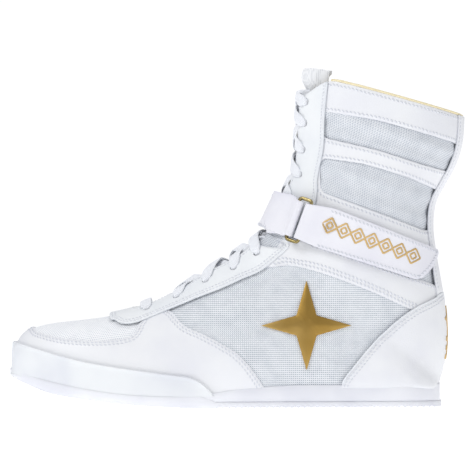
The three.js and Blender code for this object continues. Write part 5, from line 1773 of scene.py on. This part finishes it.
def keep_mark(middle):
    """Inside any of the mark's shapes, seen from behind and measured from the heel line."""
    p = last(middle[:, 0], middle[:, 1])
    centre = last(middle[:, 0], 0 * middle[:, 1])[:, 1]
    seen = np.column_stack([p[:, 1] - centre, p[:, 2]])
    return np.any([inside(shape, seen) for shape in shapes], 0)


heel_mark = panel(
    "heel_star_and_bars", ((HEEL + 0.5, HEEL + 4.5), (-0.3, 0.3)), [behind(shape) for shape in shapes],
    keep_mark, 2.0, uv_wrap, None, 1.6, inset=(0.5,))
finish_piece(thicken(heel_mark, 0.9, 0.15), "boot", "gold", EMBROIDERY, "emblem_heel")

# %% [markdown]
# ## Stitching
# A seam is what makes a panel look sewn and not glued. Each stitch is a short capsule of thread, laid
# at an even pitch a few millimetres in from the panel's edge and turned a little across it.

# %% One stitch, and rows of them
ring_scale = np.array([0.0, 0.62, 0.96, 0.96, 0.62, 0.0])
ring_at = np.array([-1.0, -0.86, -0.45, 0.45, 0.86, 1.0])
STITCH_SIDES = 6
angles = np.linspace(0, math.tau, STITCH_SIDES, endpoint=False)
STITCH = np.stack([
    np.repeat(ring_at[:, None], STITCH_SIDES, 1),
    ring_scale[:, None] * np.cos(angles), ring_scale[:, None] * np.sin(angles),
], -1)[1:-1].reshape(-1, 3)
STITCH_FACES = loft(4, STITCH_SIDES)
stitches = {"boot": [], "strap": []}
print("one stitch has", len(STITCH), "points and", len(STITCH_FACES), "faces")


# %% A row of stitches
def sew(group, line, grow, pitch=2.8, length=2.5, width=0.5, lean=34.0, lift=0.12, hide=None):
    """Stitches along a run of places on the last: centres at even steps of the path, each turned lean
    degrees about the surface's outward direction."""
    path = last(line[:, 0], line[:, 1], grow + lift)
    whole = even_steps(np.column_stack([path, line]), 0.5)
    run = np.linalg.norm(np.diff(whole[:, :3], axis=0), axis=1).sum()
    if run < 2 * pitch:
        return
    every = even_steps(whole, run / max(round(run / pitch), 2))
    centre, place = every[:, :3], every[:, 3:]
    shown = centre[:, 2] < height_of(collar, centre[:, 0]) - 2.5
    if hide is not None:
        shown &= ~hide(place)
    way = flow(centre)
    _, _, out = last_frame(place[:, 0], place[:, 1])
    out = unit(out - (out * way).sum(-1, keepdims=True) * way)
    side = np.cross(out, way)
    turn = math.radians(lean)
    ahead = way * math.cos(turn) + side * math.sin(turn)
    across = np.cross(out, ahead)
    t = STITCH[None]
    points = (
        centre[:, None] + t[..., 0:1] * ahead[:, None] * length / 2
        + t[..., 1:2] * across[:, None] * width + t[..., 2:3] * out[:, None] * width * 0.8)
    stitches[group].append(points[shown])


# %% Where the rows run, and what hides them
def inset_line(line, gap, towards):
    """A run of places moved gap millimetres across the surface to the side where towards is true."""
    p = last(line[:, 0], line[:, 1])
    way = flow(p)
    _, _, out = last_frame(line[:, 0], line[:, 1])
    side = np.cross(out, way)
    moved = [walk(line, sign * gap * side) for sign in (-1, 1)]
    count = [np.mean(towards(walk(line, sign * 1.2 * side))) for sign in (-1, 1)]
    best = moved[int(count[1] > count[0])]
    far = distance(last(best[:, 0], best[:, 1]), p)
    return best[far > 0.86 * gap]


def folded_view(places):
    """Side-view points of places on either side, however their round values are counted."""
    round_ = np.where(places[:, 1] > 1, 2 - places[:, 1], np.abs(places[:, 1]))
    return side_view(np.column_stack([places[:, 0], round_]))


def in_area(area):
    """A rule that is true at places inside a side-view area."""
    return lambda places: inside(area, folded_view(places))


def pulled_in(line, side, wrap, area, gaps, grow, hide=None, **style):
    """Rows of stitches inside a panel's edge."""
    run = seam(line, side, wrap)
    inner = (run[:, 1] > 0.02) & (run[:, 1] < 0.985) | (run[:, 1] < -0.02) | (run[:, 1] > 1.015)
    run = run[inner]
    for gap in gaps:
        sew("boot", inset_line(run, gap, in_area(area)), grow, hide=hide, **style)


def hide_all(*areas, low=None):
    """A rule that is true at places under any of the areas, or below a height."""
    def hide(places):
        seen = folded_view(places)
        hidden = np.zeros(len(places), bool)
        for area in areas:
            hidden |= inside(area, seen)
        if low is not None:
            hidden |= seen[:, 1] < low
        return hidden
    return hide


# %% The seams of both sides
ON_PANEL, ON_STAY = PANEL_GROW - 0.1, STAY_GROW - 0.1  # stitches sink a little into the leather
strap_cover = rounded(STRAP_BASE, 1)
for sign in (-1, 1):
    covers = [stay_area, backstay_area] + ([strap_cover] if sign < 0 else [])
    under_covers = hide_all(*covers)
    pulled_in(frame_low, sign, "top", over(frame_low), (2.4,), ON_PANEL, under_covers)
    for window in (upper_window, lower_window):
        outside = lambda places, window=window: ~in_area(window)(places)
        sew("boot", inset_line(seam(window, sign, "top"), 2.2, outside), ON_PANEL, hide=under_covers)
    pulled_in(collar_edge, sign, "top", under_collar, (2.4,), ON_PANEL, under_covers)
    pulled_in(ankle_low, sign, "top", over(ankle_low), (2.0, 4.2), ON_PANEL,
              hide_all(stay_low_area, foxing_area, backstay_area))
    pulled_in(ankle_top, sign, "top", under(ankle_top), (2.0,), ON_PANEL,
              hide_all(stay_low_area, foxing_area, *covers))
    pulled_in(stay_top, sign, "top", stay_area, (1.8,), ON_STAY, hide_all(low=118),
              pitch=2.2, length=1.6, width=0.32, lean=8)
    pulled_in(stay_low, sign, "top", stay_low_area, (1.8, 3.8), ON_STAY,
              pitch=2.4, length=1.8, width=0.34, lean=8)
    pulled_in(mudguard_edge, sign, "top", under(mudguard_edge), (1.8, 3.9), ON_PANEL, hide_all(stay_low_area),
              length=2.2, width=0.45, lean=20)
    pulled_in(foxing, sign, "heel", foxing_area, (2.0, 4.2), ON_STAY,
              pitch=2.6, length=2.0, width=0.38, lean=12)
    pulled_in(backstay, sign, "heel", backstay_area, (2.0,), ON_STAY, hide_all(low=80),
              pitch=2.6, length=1.9, width=0.36, lean=10)
    edge_run = throat_line(THROAT_HALF + 1.9)[0 if sign < 0 else 1]
    for part in (edge_run[:, 0] < 13.2, edge_run[:, 0] > 19):
        sew("boot", edge_run[part], ON_STAY, 2.4, 1.7, 0.32, 8)
print("stitch groups", {key: sum(len(rows) for rows in value) for key, value in stitches.items()})


# %% The strap's seams
def strap_rows(edges, gaps, grow, group, start=0.1, end=0.97):
    """Stitches a few millimetres in from a strap's long edges."""
    low_edge, high_edge = (even_steps(chart(edge), 1.0) for edge in edges)
    count = min(len(low_edge), len(high_edge))
    low_edge = even_steps(low_edge, np.linalg.norm(np.diff(low_edge, axis=0), axis=1).sum() / count)
    high_edge = even_steps(high_edge, np.linalg.norm(np.diff(high_edge, axis=0), axis=1).sum() / count)
    count = min(len(low_edge), len(high_edge))
    low_edge, high_edge = low_edge[:count], high_edge[:count]
    wide = np.linalg.norm(high_edge - low_edge, axis=1).mean()
    part = slice(int(start * count), int(end * count))
    for gap in gaps:
        for share in (gap / wide, 1 - gap / wide):
            sew(group, unchart(low_edge + share * (high_edge - low_edge))[part], grow)
    share = np.linspace(0.12, 0.88, 30)[:, None]
    last_row = int(end * count) - 1
    sew(group, unchart(low_edge[last_row] + share * (high_edge[last_row] - low_edge[last_row])), grow)


strap_rows(tail_edges, (2.6,), 4.4, "strap", 0.03, 0.965)
strap_rows(anchor_edges, (3.0,), 5.3, "boot", 0.4, 0.97)

# %% All stitches of a body as one piece
for body, rows in stitches.items():
    points = np.concatenate(rows)
    faces = [
        tuple(v + k * len(STITCH) for v in face) for k in range(len(points)) for face in STITCH_FACES]
    piece = build(f"{body}_stitching", points.reshape(-1, 3), faces)
    tidy_mesh(piece, 0.001)
    finish_piece(piece, body, "leather", THREAD)


# %% [markdown]
# ## Floor and sizes
# The floor is a plain pale plane that glows a little, so that it meets the bright surround without a
# line. It belongs to the stage and not to the boot.

# %% Floor
FLOOR_GLOW = 0.52
floor_mesh = bpy.data.meshes.new("floor")
floor_mesh.from_pydata([(-4, -4, 0), (4, -4, 0), (4, 4, 0), (-4, 4, 0)], [], [(0, 1, 2, 3)])
floor = bpy.data.objects.new("floor", floor_mesh)
bpy.context.scene.collection.objects.link(floor)
floor_finish = Finish("pale_floor", 0.75)
floor_tone = floor_finish.mix(floor_finish.noise(300, 2), (0.93, 0.94, 0.95), (0.95, 0.95, 0.96))
floor_finish.set(Base_Color=floor_tone)
floor_finish.set(Emission_Color=(1, 1, 1, 1), Emission_Strength=FLOOR_GLOW)
floor.data.materials.append(floor_finish.material)
